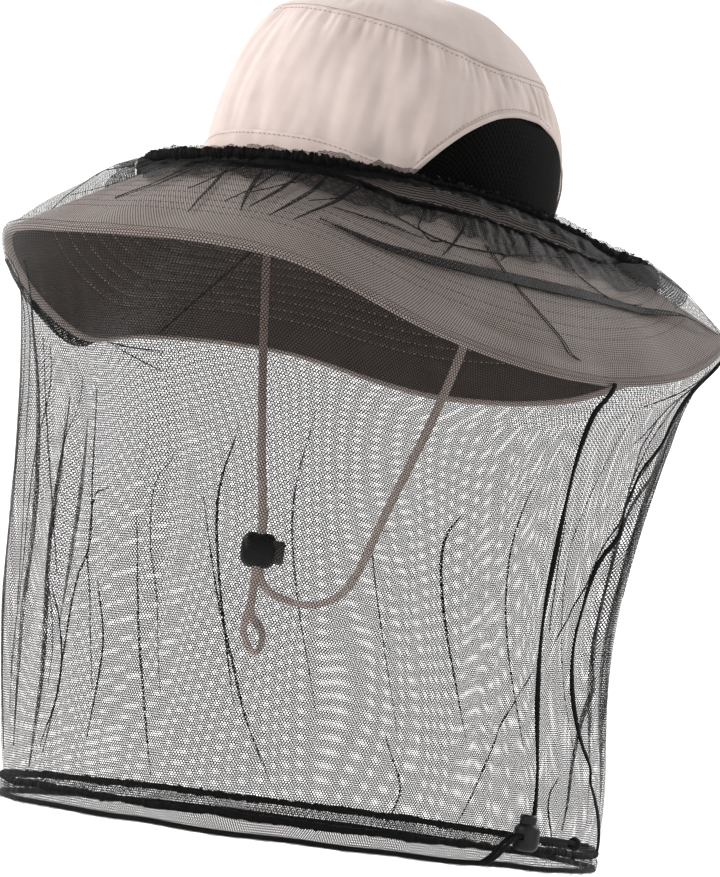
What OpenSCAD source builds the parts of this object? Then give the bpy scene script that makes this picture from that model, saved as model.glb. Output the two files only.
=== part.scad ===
// Wide-brimmed sun hat with a draped insect net: the veil hangs from an elastic loop round the crown,
// falls over the brim and ends in a drawcord hem. Millimetres, +Z up, -Y is the wearer's front and
// +X the wearer's left. The origin is the middle of the head opening, at the crown-to-brim seam.
// Angles round the hat start at the front and turn towards the wearer's left.

/* [Head opening] */
// Half the width of the crown at the brim seam
crown_rx = 92; // [84:1:96]
// Half the front-to-back length of the crown at the brim seam
crown_ry = 107; // [98:1:112]
// How far the head opening dips at the wearer's ears
seam_dip = 8; // [2:1:12]

/* [Crown] */
// Height of the crown's highest point above the head opening
crown_top_z = 112; // [100:1:120]
// Thickness of a layer of hat cloth
cloth_t = 0.9; // [0.6:0.1:1.2]
// Angle at which the middle of each mesh vent lies
vent_mid = 103; // [95:1:110]
// Half the angle that a mesh vent covers at its foot
vent_half = 45; // [35:1:48]
// Height of a mesh vent's arch above the brim seam
vent_h = 50; // [35:1:56]
// Width of the folded strip that edges a vent
binding_w = 3.6; // [2.5:0.1:5]
// Height of the folded band round the crown's foot
base_band_h = 9; // [5:1:14]
// Height of the sweatband inside the head opening
sweatband_h = 30; // [20:1:36]

/* [Brim] */
// Width of the brim, measured along its slope
brim_w = 119; // [106:1:130]
// Thickness of the brim's stiff core
core_t = 1.6; // [1:0.1:2.5]
// Half the thickness of the turned and bound rim
rim_r = 2; // [1.6:0.1:2.6]

/* [Veil] */
// Radius of the elastic cord in the veil's top edge
elastic_r = 1.3; // [1:0.1:2]
// Radius of the ruffled casing round that elastic
ruffle_r = 3.8; // [3.2:0.1:5]
// Half the width of the hem's ring
hem_rx = 145; // [135:1:152]
// Half the front-to-back length of the hem's ring
hem_ry = 185; // [175:1:195]
// Height of the hem's lower edge below the head opening
hem_drop = 366; // [340:1:390]
// Height of the hem's casing
hem_h = 11; // [8:1:16]
// Radius of the drawcord
drawcord_r = 1.5; // [1:0.1:1.8]
// Thickness allowed for the net cloth
net_t = 0.8; // [0.6:0.1:1.2]
// Width of the tape on the veil's seams
seam_tape_w = 4; // [3:0.5:6]

/* [Chin cord] */
// Width of the flat chin cord
strap_w = 4.8; // [4:0.1:5.2]
// Thickness of the flat chin cord
strap_t = 1.5; // [1:0.1:1.6]

/* [Cord locks] */
// Radius of the chin lock's barrel
chin_lock_r = 10; // [9.5:0.1:11]
// Length of the chin lock's barrel
chin_lock_l = 20; // [19:0.5:22]
// Radius of the hem lock's barrel
hem_lock_r = 7; // [6.5:0.1:8]
// Length of the hem lock's barrel
hem_lock_l = 15; // [14:0.5:17]
// How far a lock's button can be pressed
press_travel = 2.5; // [2:0.1:2.6]

/* [Hidden] */

// Colours
taupe = "#CBBDB5";
taupe_shade = "#B3A49C";
under_grey = "#7D726C";
core_white = "#D9D6D0";
net_black = "#1A1A1A";
cord_mauve = "#9C8580";
lock_black = "#141414";
steel = "#B8BCC0";

// Fineness: steps round the whole hat, and sides on a thin tube
around_n = 60;
tube_sides = 8;
// Space kept between cloths that are sewn together, and between parts that move
sewn_gap = 0.2;
run_gap = 0.4;

// Shape stations. Each list runs round the hat from the front towards the wearer's left.
// Height of the seam between the crown's side and top, every 45 degrees
top_seam_z = [88, 80, 68, 71, 74, 74, 75, 88];
// Fall of the brim's rim below the head opening, every 30 degrees
rim_fall = [63, 68, 95, 102, 87, 53, 92, 97, 81, 89, 101, 62];
// Place of the veil's elastic on the brim as a share of its width, every 30 degrees
elastic_place = [0.27, 0.19, 0.08, 0.08, 0.22, 0.56, 0.56, 0.42, 0.28, 0.22, 0.27, 0.27];
// Where the hem's ring is centred over the ground
hem_centre = [5, 5];

// ---- Functions for smooth closed outlines ----
function wrap(i, n) = ((i % n) + n) % n;
function cubic(p0, p1, p2, p3, f) =
    0.5 * (2 * p1 + (p2 - p0) * f + (2 * p0 - 5 * p1 + 4 * p2 - p3) * f * f
           + (3 * p1 - p0 - 3 * p2 + p3) * f * f * f);
function around(list, a) =
    let (n = len(list), s = wrap(a, 360) / 360 * n, i = floor(s))
    cubic(list[wrap(i - 1, n)], list[wrap(i, n)], list[wrap(i + 1, n)], list[wrap(i + 2, n)], s - i);
function unit(v) = v / norm(v);
function mix(a, b, f) = a + (b - a) * f;
function clamp(x, low, high) = min(max(x, low), high);

// A point on the crown's foot, and the level direction out of it
function foot(a) = [crown_rx * sin(a), -crown_ry * cos(a), -seam_dip * pow(sin(a), 2)];
function outward(a) = unit([sin(a) / crown_rx, -cos(a) / crown_ry, 0]);

// ---- The crown's cloth: h runs from the foot, 0, to the top seam, 1 ----
front_lean = [-0.04, 0, -0.23];
rear_lean = [0.12, -0.24, 0];
function lean(c, h) = 1 + c[0] * h + c[1] * h * h + c[2] * h * h * h;
function crown_scale(a, h) = mix(lean(front_lean, h), lean(rear_lean, h), (1 - cos(a)) / 2);
function crown_wall(a, h, inset) =
    let (k = crown_scale(a, h), f = foot(a), o = outward(a))
    [f[0] * k, f[1] * k, mix(f[2], around(top_seam_z, a), h)] - inset * o;
// The top panel: r runs from the middle, 0, to the top seam, 1
dome_power = 2.8;
function crown_dome(a, r, inset) =
    let (edge = crown_wall(a, 1, 0))
    [edge[0] * r, edge[1] * r, mix(crown_top_z, edge[2], pow(r, dome_power)) - inset];
// The vent's arch as a share of the crown's height
vent_power = 2.2;
function wall_height(a) = around(top_seam_z, a) - foot(a)[2];
function turn_from_vent(a) = abs(wrap(abs(wrap(a + 180, 360) - 180) - vent_mid + 180, 360) - 180);
function arch(a) =
    max(0, 1 - pow(min(1, turn_from_vent(a) / vent_half), vent_power)) * vent_h / wall_height(a);

// ---- The brim: s runs from the crown, 0, to the rim, 1 ----
brim_curl = 1.08;
function fall(a) = around(rim_fall, a) + foot(a)[2];
function reach(a) = sqrt(brim_w * brim_w - fall(a) * fall(a));
function brim_up(a) = unit(outward(a) * fall(a) + [0, 0, reach(a)]);
function brim_down(a) = unit(outward(a) * reach(a) - [0, 0, fall(a)]);
function brim(a, s, lift) =
    foot(a) + outward(a) * reach(a) * s - [0, 0, fall(a) * pow(max(s, 0), brim_curl)] + lift * brim_up(a);

// ---- Solids from grids of points ----
// A thin solid between two grids. Seen from the first grid's side, columns run to the right and
// rows run upwards. A closed grid joins its last column to its first.
module skin(face, back, closed) {
    n = len(face);
    m = len(face[0]);
    last = closed ? n - 1 : n - 2;
    function at(g, i, j) = g * n * m + (i % n) * m + j;
    sheets = [
        for (i = [0 : last]) for (j = [0 : m - 2]) each [
            [at(0, i, j), at(0, i, j + 1), at(0, i + 1, j + 1)],
            [at(0, i, j), at(0, i + 1, j + 1), at(0, i + 1, j)],
            [at(1, i, j), at(1, i + 1, j + 1), at(1, i, j + 1)],
            [at(1, i, j), at(1, i + 1, j), at(1, i + 1, j + 1)]
        ]
    ];
    rims = [
        for (i = [0 : last]) each [
            [at(0, i, 0), at(0, i + 1, 0), at(1, i + 1, 0)],
            [at(0, i, 0), at(1, i + 1, 0), at(1, i, 0)],
            [at(0, i, m - 1), at(1, i + 1, m - 1), at(0, i + 1, m - 1)],
            [at(0, i, m - 1), at(1, i, m - 1), at(1, i + 1, m - 1)]
        ]
    ];
    sides = closed ? [] : [
        for (j = [0 : m - 2]) each [
            [at(0, 0, j), at(1, 0, j), at(1, 0, j + 1)],
            [at(0, 0, j), at(1, 0, j + 1), at(0, 0, j + 1)],
            [at(0, n - 1, j), at(1, n - 1, j + 1), at(1, n - 1, j)],
            [at(0, n - 1, j), at(0, n - 1, j + 1), at(1, n - 1, j + 1)]
        ]
    ];
    points = [for (g = [face, back]) for (col = g) each col];
    polyhedron(points, concat(sheets, rims, sides), convexity = 6);
}

// A solid swept through rings of points, each ring turning the same way
module sweep(rings, closed) {
    n = len(rings);
    m = len(rings[0]);
    last = closed ? n - 1 : n - 2;
    function at(i, j) = (i % n) * m + (j % m);
    walls = [
        for (i = [0 : last]) for (j = [0 : m - 1]) each [
            [at(i, j), at(i, j + 1), at(i + 1, j + 1)],
            [at(i, j), at(i + 1, j + 1), at(i + 1, j)]
        ]
    ];
    ends = closed ? [] : [[for (j = [m - 1 : -1 : 0]) at(0, j)], [for (j = [0 : m - 1]) at(n - 1, j)]];
    polyhedron([for (ring = rings) each ring], concat(walls, ends), convexity = 6);
}

// One ring of a tube: half-sizes along two directions across the path
function ring(centre, across, over, half_a, half_o, sides) =
    [for (k = [0 : sides - 1]) centre + half_a * cos(360 * k / sides) * across
                                      + half_o * sin(360 * k / sides) * over];
// A ring whose section is an open C round a cord, with its mouth towards the over direction
c_steps = 6;
c_mouth = 50;
function c_ring(centre, across, over, r_in, r_out) =
    let (turns = [for (k = [0 : c_steps]) 90 + c_mouth + (360 - 2 * c_mouth) * k / c_steps])
    concat([for (t = turns) centre + r_out * (cos(t) * across + sin(t) * over)],
           [for (k = [c_steps : -1 : 0]) centre + r_in * (cos(turns[k]) * across + sin(turns[k]) * over)]);

turns_all = [for (i = [0 : around_n - 1]) 360 * i / around_n];
function span(a0, a1, n) = [for (i = [0 : n]) mix(a0, a1, i / n)];

// ---- Crown ----
dome_rows = 5;
seam_fold = 0.012;
module crown_top_panel() {
    rows = [for (j = [0 : dome_rows]) mix(1 - seam_fold, 0.02, j / dome_rows)];
    color(taupe) union() {
        skin([for (a = turns_all) [for (r = rows) crown_dome(a, r, 0)]],
             [for (a = turns_all) [for (r = rows) crown_dome(a, r, cloth_t)]], true);
        translate([0, 0, crown_top_z - cloth_t - 0.05]) cylinder(r = 4, h = cloth_t, $fn = 48);
    }
}

wall_rows = 6;
// A piece of the crown's wall between two heights, given as functions' values at each angle
module wall_piece(angles, lows, highs, out, thick) {
    function column(i, inset) =
        [for (j = [0 : wall_rows]) crown_wall(angles[i], mix(lows[i], highs[i], j / wall_rows), inset)];
    skin([for (i = [0 : len(angles) - 1]) column(i, -out)],
         [for (i = [0 : len(angles) - 1]) column(i, thick - out)], false);
}
// Share of the wall that a height in millimetres takes
function share(a, mm) = mm / wall_height(a);
foot_gap = 2.6;
module crown_panel(a0, a1, n) {
    angles = span(a0, a1, n);
    lows = [for (a = angles) arch(a) > 0 ? arch(a) + share(a, foot_gap) : share(a, foot_gap)];
    highs = [for (a = angles) 1 - share(a, sewn_gap)];
    color(taupe) wall_piece(angles, lows, highs, 0, cloth_t);
}
module crown_front_panel() {
    crown_panel(-vent_mid + 0.1, vent_mid - 0.1, 44);
}
module crown_rear_panel() {
    crown_panel(vent_mid + 0.1, 360 - vent_mid - 0.1, 32);
}
module mesh_vent(side) {
    reach_in = vent_half * 0.94;
    angles = side > 0 ? span(vent_mid - reach_in, vent_mid + reach_in, 20)
                      : span(-vent_mid - reach_in, -vent_mid + reach_in, 20);
    lows = [for (a = angles) share(a, 1)];
    highs = [for (a = angles) arch(a) + share(a, 0.8)];
    color(net_black) wall_piece(angles, lows, highs, -1.1, cloth_t);
}
module mesh_vent_left() {
    mesh_vent(1);
}
module mesh_vent_right() {
    mesh_vent(-1);
}
module vent_binding(side) {
    angles = span(vent_mid - vent_half * 0.97, vent_mid + vent_half * 0.97, 24);
    rings = [
        for (a = angles)
            let (turn = side * a,
                 h = arch(turn) + share(turn, foot_gap),
                 up = unit(crown_wall(turn, h + 0.02, 0) - crown_wall(turn, h, 0)),
                 over = outward(turn))
            ring(crown_wall(turn, h, -0.9), up, over, binding_w / 2, 0.6, 6)
    ];
    ordered = side > 0 ? rings : [for (i = [len(rings) - 1 : -1 : 0]) rings[i]];
    color(taupe_shade) sweep(ordered, false);
}
module vent_binding_left() {
    vent_binding(1);
}
module vent_binding_right() {
    vent_binding(-1);
}
module crown_base_band() {
    angles = span(vent_half - vent_mid + 4, vent_mid - vent_half - 4, 24);
    rows = [0.8, base_band_h];
    color(taupe)
        skin([for (a = angles) [for (h = rows) crown_wall(a, share(a, h), -1.2)]],
             [for (a = angles) [for (h = rows) crown_wall(a, share(a, h), -0.3)]], false);
}
sweatband_t = 1.2;
module sweatband() {
    rows = [1, sweatband_h / 2, sweatband_h];
    inset = 2.6;
    color(taupe_shade)
        skin([for (a = turns_all) [for (h = rows) crown_wall(a, share(a, h), inset)]],
             [for (a = turns_all) [for (h = rows) crown_wall(a, share(a, h), inset + sweatband_t)]], true);
}

// ---- Brim: three layers, edged with a turned binding ----
brim_rows = 4;
brim_start = 0.012;
brim_end = 0.975;
layer_gap = 0.15;
module brim_layer(low, high) {
    rows = [for (j = [0 : brim_rows]) mix(brim_end, brim_start, j / brim_rows)];
    skin([for (a = turns_all) [for (s = rows) brim(a, s, high)]],
         [for (a = turns_all) [for (s = rows) brim(a, s, low)]], true);
}
core_low = -core_t / 2;
core_high = core_t / 2;
module brim_core() {
    color(core_white) brim_layer(core_low, core_high);
}
module brim_upper() {
    color(taupe) brim_layer(core_high + layer_gap, core_high + layer_gap + cloth_t);
}
module brim_lower() {
    color(under_grey) brim_layer(core_low - layer_gap - cloth_t, core_low - layer_gap);
}
brim_top = core_high + layer_gap + cloth_t;
rim_half = 2.2;
module brim_binding() {
    rings = [
        for (a = turns_all)
            ring(brim(a, 1, 0), brim_down(a), brim_up(a), rim_half, rim_r, tube_sides)
    ];
    color(taupe_shade) sweep(rings, true);
}

// ---- Veil ----
// The elastic lies on the brim, close round the crown at the front and further out at the rear
function elastic_at(a) = brim(a, around(elastic_place, a), brim_top + ruffle_r + 0.4);
module veil_elastic() {
    rings = [for (a = turns_all) ring(elastic_at(a), brim_down(a), brim_up(a), elastic_r, elastic_r, 6)];
    color(net_black) sweep(rings, true);
}
module veil_top_casing() {
    rings = [for (a = turns_all) c_ring(elastic_at(a), brim_down(a), -brim_up(a), elastic_r + 0.4, ruffle_r)];
    color(net_black) sweep(rings, true);
}
drape_low = brim_top + 0.5;
drape_end = 1;
drape_rows = 4;
function drape_start(a) = around(elastic_place, a) + (ruffle_r + 1.2) / brim_w;
module veil_drape() {
    function column(a, lift) =
        [for (j = [0 : drape_rows]) brim(a, mix(drape_end, drape_start(a), j / drape_rows), lift)];
    color(net_black)
        skin([for (a = turns_all) column(a, drape_low + net_t)],
             [for (a = turns_all) column(a, drape_low)], true);
}
// The curtain hangs from just outside the rim, at 0, to the hem, at 1
curtain_off = 3.4;
hem_top_z = hem_h - hem_drop;
function curtain_top(a) = brim(a, 1, 0) + outward(a) * curtain_off;
function hem_point(a, out, z) =
    [hem_centre[0] + (hem_rx + out) * sin(a), hem_centre[1] - (hem_ry + out) * cos(a), z];
// The net falls in under the rim, and lower down it is drawn in most behind the wearer's left shoulder
tuck_in = 15;
tuck_high = 0.45;
waist_mean = 6;
waist_swing = 7;
waist_turn = 150;
waist_low = 1.4;
function swell(f, power) = pow(sin(180 * pow(f, power)), 2);
function drawn_in(a, f) =
    tuck_in * swell(f, tuck_high) + (waist_mean + waist_swing * cos(a - waist_turn)) * swell(f, waist_low);
function curtain(a, f, out) =
    mix(curtain_top(a), hem_point(a, 0, hem_top_z + sewn_gap), f) + outward(a) * (out - drawn_in(a, f));
curtain_rows = 12;
module veil_curtain() {
    function column(a, out) = [for (j = [curtain_rows : -1 : 0]) curtain(a, j / curtain_rows, out)];
    color(net_black, 0.6)
        skin([for (a = turns_all) column(a, net_t)], [for (a = turns_all) column(a, 0)], true);
}
// A tape sewn down one of the curtain's seams
tape_gap = 0.5;
tape_t = 0.6;
tape_rows = 24;
// The curtain between two of its rows, t counted in rows
function curtain_row(a, t, out) =
    let (i = min(floor(t), curtain_rows - 1))
    mix(curtain(a, i / curtain_rows, out), curtain(a, (i + 1) / curtain_rows, out), t - i);
module seam_tape(places) {
    function column(side, out) = [
        for (j = [tape_rows : -1 : 0])
            let (f = j / tape_rows, a = route_at(places, (len(places) - 1) * f))
            curtain_row(a, curtain_rows * f, out) + unit(cross([0, 0, 1], outward(a))) * side * seam_tape_w / 2
    ];
    color(net_black)
        skin([for (side = [-1, 1]) column(side, net_t + tape_gap + tape_t)],
             [for (side = [-1, 1]) column(side, net_t + tape_gap)], false);
}
// Angle of each seam at even steps from the rim to the hem: the rear one hangs slack
side_seam = [99, 99, 99, 99, 100, 100, 98];
rear_seam = [138, 126, 117, 112, 113, 120, 136];
module veil_seam_side() {
    seam_tape(side_seam);
}
module veil_seam_rear() {
    seam_tape(rear_seam);
}

// ---- Hem ----
cord_z = drawcord_r + 0.8 - hem_drop;
module hem_drawcord() {
    rings = [for (a = turns_all) ring(hem_point(a, 0, cord_z), outward(a), [0, 0, 1],
                                      drawcord_r, drawcord_r, 6)];
    color(net_black) sweep(rings, true);
}
// The net is turned up round the drawcord and sewn: a deep U with the cord in its fold
casing_wall = 0.7;
casing_half = drawcord_r + 0.3 + casing_wall;
function u_ring(a) =
    let (o = outward(a), low = cord_z, top = hem_top_z, r_in = casing_half - casing_wall)
    concat(
        [hem_point(a, 0, top) + o * 1.6],
        [for (t = [0 : -36 : -180]) hem_point(a, 0, low) + casing_half * (cos(t) * o + [0, 0, sin(t)])],
        [hem_point(a, 0, top) - o * 1.6, hem_point(a, 0, top) - o * 0.5],
        [for (t = [-180 : 36 : 0]) hem_point(a, 0, low) + r_in * (cos(t) * o + [0, 0, sin(t)])],
        [hem_point(a, 0, top) + o * 0.5]
    );
module hem_casing() {
    rings = [for (a = turns_all) let (u = u_ring(a)) [for (k = [len(u) - 1 : -1 : 0]) u[k]]];
    color(net_black) sweep(rings, true);
}

// ---- Cords: hand-laid routes through smooth curves ----
function route_at(route, t) =
    let (n = len(route), i = clamp(floor(t), 0, n - 2), f = t - i,
         before = i > 0 ? route[i - 1] : 2 * route[0] - route[1],
         after = i < n - 2 ? route[i + 2] : 2 * route[n - 1] - route[n - 2])
    cubic(before, route[i], route[i + 1], after, f);
// The chin cord: x, y, z and the turn of its flat side, in degrees from facing front-left
chin_route = [
    [-84.5, 0, -12.7, 0], [-81, -4, -40, 0], [-68, -11, -80, 0], [-54, -18, -120, 0],
    [-40, -24, -160, 0], [-32, -26, -186, 0], [-30, -26, -199, 0], [-30, -26, -212, 0],
    [-30, -26, -226, 0], [-30, -26, -242, 0], [-32, -27, -256, 30], [-29, -24, -267, 45],
    [-25, -20, -268, 45], [-26, -18, -258, 35], [-34, -21, -248, 0], [-34, -22, -238, 0],
    [-34, -22, -225, 0], [-34, -22, -212, 0], [-34, -22, -199, 0], [-37, -19, -190, 0],
    [-41, -15, -189, 0], [-43, -13, -199, 0], [-42, -14, -217, 0], [-37, -10, -232, 20],
    [-24, -1, -238, 40], [-6, 5, -237, 40], [13, 8, -223, 20], [37, 6, -176, 0], [60, 6, -128, 0],
    [78, 5, -81, 0], [84, 2, -40, 0], [84.5, 0, -12.7, 0]
];
view_along = unit([1, -1, 0]);
function flat_route(p) = [p[0], p[1], p[2]];
strap_rings = 80;
module chin_cord() {
    n = len(chin_route) - 1;
    rings = [
        for (k = [0 : strap_rings - 1])
            let (t = n * k / (strap_rings - 1),
                 p = route_at(chin_route, t),
                 q = route_at(chin_route, min(n, t + 0.05)),
                 o = route_at(chin_route, max(0, t - 0.05)),
                 along = unit(flat_route(q) - flat_route(o)),
                 wide = unit(cross(view_along, along)),
                 thin = cross(along, wide),
                 across = wide * cos(p[3]) + thin * sin(p[3]),
                 over = cross(along, across))
            ring(flat_route(p), across, over, strap_w / 2, strap_t / 2, tube_sides)
    ];
    color(cord_mauve) sweep(rings, false);
}
// Loops sewn inside the head opening that hold the cord's ends
anchor_x = 84.5;
module chin_anchor(side) {
    color(cord_mauve)
        translate([side * anchor_x, 0, -12.5]) difference() {
            translate([-2.4, -4, 0]) cube([4.8, 8, 18]);
            translate([-1, -5, 2.5]) cube([2, 10, 13]);
        }
}
module chin_anchor_left() {
    chin_anchor(1);
}
module chin_anchor_right() {
    chin_anchor(-1);
}

// ---- Cord locks: a barrel with a cross slot, and a sprung button that pinches the cord ----
// Each lock is drawn with its button along +X or +Z of its own place
lock_wall = 1.5;
bore_gap = 0.15;
module rounded_barrel(r, l) {
    soft = r * 0.6;
    rotate_extrude($fn = 96) intersection() {
        hull() for (end = [-1, 1]) translate([r - soft, end * (l / 2 - soft)]) circle(r = soft, $fn = 48);
        translate([0, -l / 2]) square([r, l]);
    }
}
module slotted_barrel(r, l, bore_r, slot) {
    difference() {
        rounded_barrel(r, l);
        translate([0, 0, lock_wall - l / 2]) cylinder(r = bore_r, h = l, $fn = 96);
        translate([-slot[0] / 2, -slot[1] / 2, -slot[2] / 2]) cube(slot);
    }
}
// The slot in the button is longer by the travel, so the cord passes it pressed or free
module slotted_button(r, low, high, slot) {
    difference() {
        union() {
            translate([0, 0, low]) cylinder(r = r, h = high - low - 1, $fn = 96);
            translate([0, 0, high - 1]) cylinder(r1 = r, r2 = r - 0.8, h = 1, $fn = 96);
        }
        translate([-slot[0] / 2, -slot[1] / 2, -slot[2] / 2]) cube(slot + [0, 0, press_travel]);
        translate([0, 0, high - 0.8]) cylinder(r = r - 2, h = 2, $fn = 96);
    }
}
spring_steps = 40;
spring_turns = 3;
wire_r = 0.3;
module lock_spring(r, low, high) {
    rings = [
        for (k = [0 : spring_steps])
            let (t = k / spring_steps, a = 360 * spring_turns * t)
            ring([r * cos(a), r * sin(a), mix(low + wire_r, high - wire_r, t)], [cos(a), sin(a), 0],
                 [0, 0, 1], wire_r, wire_r, 6)
    ];
    sweep(rings, false);
}
chin_bore_r = chin_lock_r - 3.2;
chin_lock_at = [-32, -24, -212];
button_stand = 4.5;
chin_low = -strap_w / 2 - run_gap - lock_wall;
module at_chin_lock() {
    translate(chin_lock_at) rotate([0, 0, 45]) rotate([0, 90, 0]) children();
}
// The chin cord runs through the barrel crosswise, one strand beside the other
strand_gap = 2.83;
module strand_slots(length, along) {
    for (side = [-1, 1])
        translate([-length / 2, side * strand_gap - strap_t / 2 - run_gap, -strap_w / 2 - run_gap])
            cube([length, strap_t + 2 * run_gap, along]);
}
slot_along = strap_w + 2 * run_gap;
module chin_lock_body() {
    color(lock_black) at_chin_lock() difference() {
        rounded_barrel(chin_lock_r, chin_lock_l);
        translate([0, 0, lock_wall - chin_lock_l / 2])
            cylinder(r = chin_bore_r, h = chin_lock_l, $fn = 96);
        strand_slots(3 * chin_lock_r, slot_along);
    }
}
module chin_lock_plunger() {
    color("#3A3A3C") at_chin_lock() difference() {
        union() {
            translate([0, 0, chin_low])
                cylinder(r = chin_bore_r - bore_gap, h = chin_lock_l / 2 + button_stand - 1 - chin_low, $fn = 96);
            translate([0, 0, chin_lock_l / 2 + button_stand - 1])
                cylinder(r1 = chin_bore_r - bore_gap, r2 = chin_bore_r - 1, h = 1, $fn = 96);
        }
        strand_slots(3 * chin_lock_r, slot_along + press_travel);
    }
}
module chin_lock_spring() {
    color(steel) at_chin_lock()
        lock_spring(chin_bore_r - 2, lock_wall - chin_lock_l / 2 + 0.05, chin_low - 0.05);
}
// The hem lock sits on the drawcord's two ends, outside the hem at its side seam
tail_r = 1.2;
hem_lock_a = 93;
hem_turn = 92;
hem_lock_out = 11.5;
hem_lock_z = 19 - hem_drop;
hem_bore_r = hem_lock_r - 2.3;
tail_gap = 1.9;
hem_slot = [3 * hem_lock_r, 2 * (tail_gap + tail_r + run_gap), 2 * (tail_r + run_gap)];
hem_low = -hem_slot[2] / 2 - 1.3;
module at_hem_lock() {
    translate(hem_point(hem_lock_a, hem_lock_out, hem_lock_z)) rotate([0, 0, hem_turn]) children();
}
module hem_lock_body() {
    color(lock_black) at_hem_lock() slotted_barrel(hem_lock_r, hem_lock_l, hem_bore_r, hem_slot);
}
module hem_lock_plunger() {
    color(lock_black) at_hem_lock()
        slotted_button(hem_bore_r - bore_gap, hem_low, hem_lock_l / 2 + button_stand, hem_slot);
}
module hem_lock_spring() {
    color(steel) at_hem_lock()
        lock_spring(hem_bore_r - 1.2, lock_wall - hem_lock_l / 2 + 0.05, hem_low - 0.05);
}
// The ends' route in the lock's own place: out of the casing, through the lock and on to the knot
tail_route = [
    [-24, 7, -16], [-20, 3, -11], [-15, 0, -3], [-9, 0, 0], [0, 0, 0], [12, 0, 0], [24, 0, 0],
    [34, 0, 0], [40, 0, -1]
];
tail_rings = 22;
module hem_cord_tails() {
    n = len(tail_route) - 1;
    color(net_black) at_hem_lock() for (side = [-1, 1])
        sweep([
            for (k = [0 : tail_rings])
                let (t = n * k / tail_rings,
                     along = unit(route_at(tail_route, min(n, t + 0.05))
                                  - route_at(tail_route, max(0, t - 0.05))),
                     across = unit(cross([0, 0, 1], along)))
                ring(route_at(tail_route, t) + [0, side * tail_gap, 0], across, cross(along, across),
                     tail_r, tail_r, 6)
        ], false);
}
knot_r = 3.8;
module hem_cord_knot() {
    color(net_black) at_hem_lock() translate([41, 0, -1]) {
        sphere(r = knot_r, $fn = 48);
        for (side = [-1, 1])
            translate([0, side * tail_gap, 0]) rotate([0, 90, 0]) cylinder(r = tail_r, h = 9, $fn = 24);
    }
}

crown_top_panel();
crown_front_panel();
crown_rear_panel();
mesh_vent_left();
mesh_vent_right();
vent_binding_left();
vent_binding_right();
crown_base_band();
sweatband();
brim_upper();
brim_core();
brim_lower();
brim_binding();
chin_anchor_left();
chin_anchor_right();
chin_cord();
chin_lock_body();
chin_lock_plunger();
chin_lock_spring();
veil_elastic();
veil_top_casing();
veil_drape();
veil_curtain();
veil_seam_side();
veil_seam_rear();
hem_casing();
hem_drawcord();
hem_cord_tails();
hem_cord_knot();
hem_lock_body();
hem_lock_plunger();
hem_lock_spring();
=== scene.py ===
# A sun hat with a draped insect net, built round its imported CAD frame, in the frame's own axes:
# +Z up, -Y the wearer's front, +X the wearer's left. Shapes are worked out in millimetres and
# every mesh is in metres. Angles round the hat are in degrees, from the front towards the
# wearer's left.
import math

import bmesh
import bpy
from mathutils import Matrix, Vector, noise


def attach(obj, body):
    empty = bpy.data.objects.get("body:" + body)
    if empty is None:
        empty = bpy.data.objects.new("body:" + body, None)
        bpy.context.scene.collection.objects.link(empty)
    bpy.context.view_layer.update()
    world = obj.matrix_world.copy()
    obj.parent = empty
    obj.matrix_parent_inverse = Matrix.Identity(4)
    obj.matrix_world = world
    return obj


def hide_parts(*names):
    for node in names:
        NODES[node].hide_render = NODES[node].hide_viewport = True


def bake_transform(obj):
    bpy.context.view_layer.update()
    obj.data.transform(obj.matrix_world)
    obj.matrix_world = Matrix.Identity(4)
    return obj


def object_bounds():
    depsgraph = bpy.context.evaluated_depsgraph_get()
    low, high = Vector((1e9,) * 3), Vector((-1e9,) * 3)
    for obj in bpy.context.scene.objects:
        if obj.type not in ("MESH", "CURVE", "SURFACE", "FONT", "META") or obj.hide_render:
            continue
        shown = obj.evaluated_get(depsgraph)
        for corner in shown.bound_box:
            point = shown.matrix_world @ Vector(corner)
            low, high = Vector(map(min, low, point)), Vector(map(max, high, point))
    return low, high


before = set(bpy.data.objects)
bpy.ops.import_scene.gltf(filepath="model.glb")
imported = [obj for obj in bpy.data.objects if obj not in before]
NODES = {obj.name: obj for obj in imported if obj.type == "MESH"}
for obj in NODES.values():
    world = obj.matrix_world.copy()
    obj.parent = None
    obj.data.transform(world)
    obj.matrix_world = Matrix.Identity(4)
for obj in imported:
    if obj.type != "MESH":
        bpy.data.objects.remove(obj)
cad_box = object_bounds()
MM = 0.001


# ---------------------------------------------------------------- camera, floor and light
VIEW_TURN = math.radians(45)
VIEW_UP = math.radians(4.1)
VIEW_ROLL = math.radians(8)
VIEW_AT = Vector((0.0058, 0.0058, -0.142))
VIEW_FROM = 2.0
LENS = 145.8
FAR_CLIP = 60
SWEEP_HALF, COVE_FROM, COVE_R, FLOOR_GAP = 9.0, 1.5, 1.2, 0.05
WORLD_LIGHT = 0.46
HAT_MIDDLE, WALL_MIDDLE = Vector((0, 0, -0.1)), Vector((-1.2, 1.2, 0.1))
# Lamps: name, place, the point it faces, size across in metres, and watts
LAMPS = (("key", (-0.75, -2.0, 0.7), HAT_MIDDLE, 0.9, 37),
         ("fill", (2.0, -0.2, 0.2), HAT_MIDDLE, 1.8, 9),
         ("wall_left", (-1.9, -0.3, 1.2), WALL_MIDDLE, 1.0, 34),
         ("wall_right", (0.3, 1.9, 1.2), WALL_MIDDLE, 1.0, 34))


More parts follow.
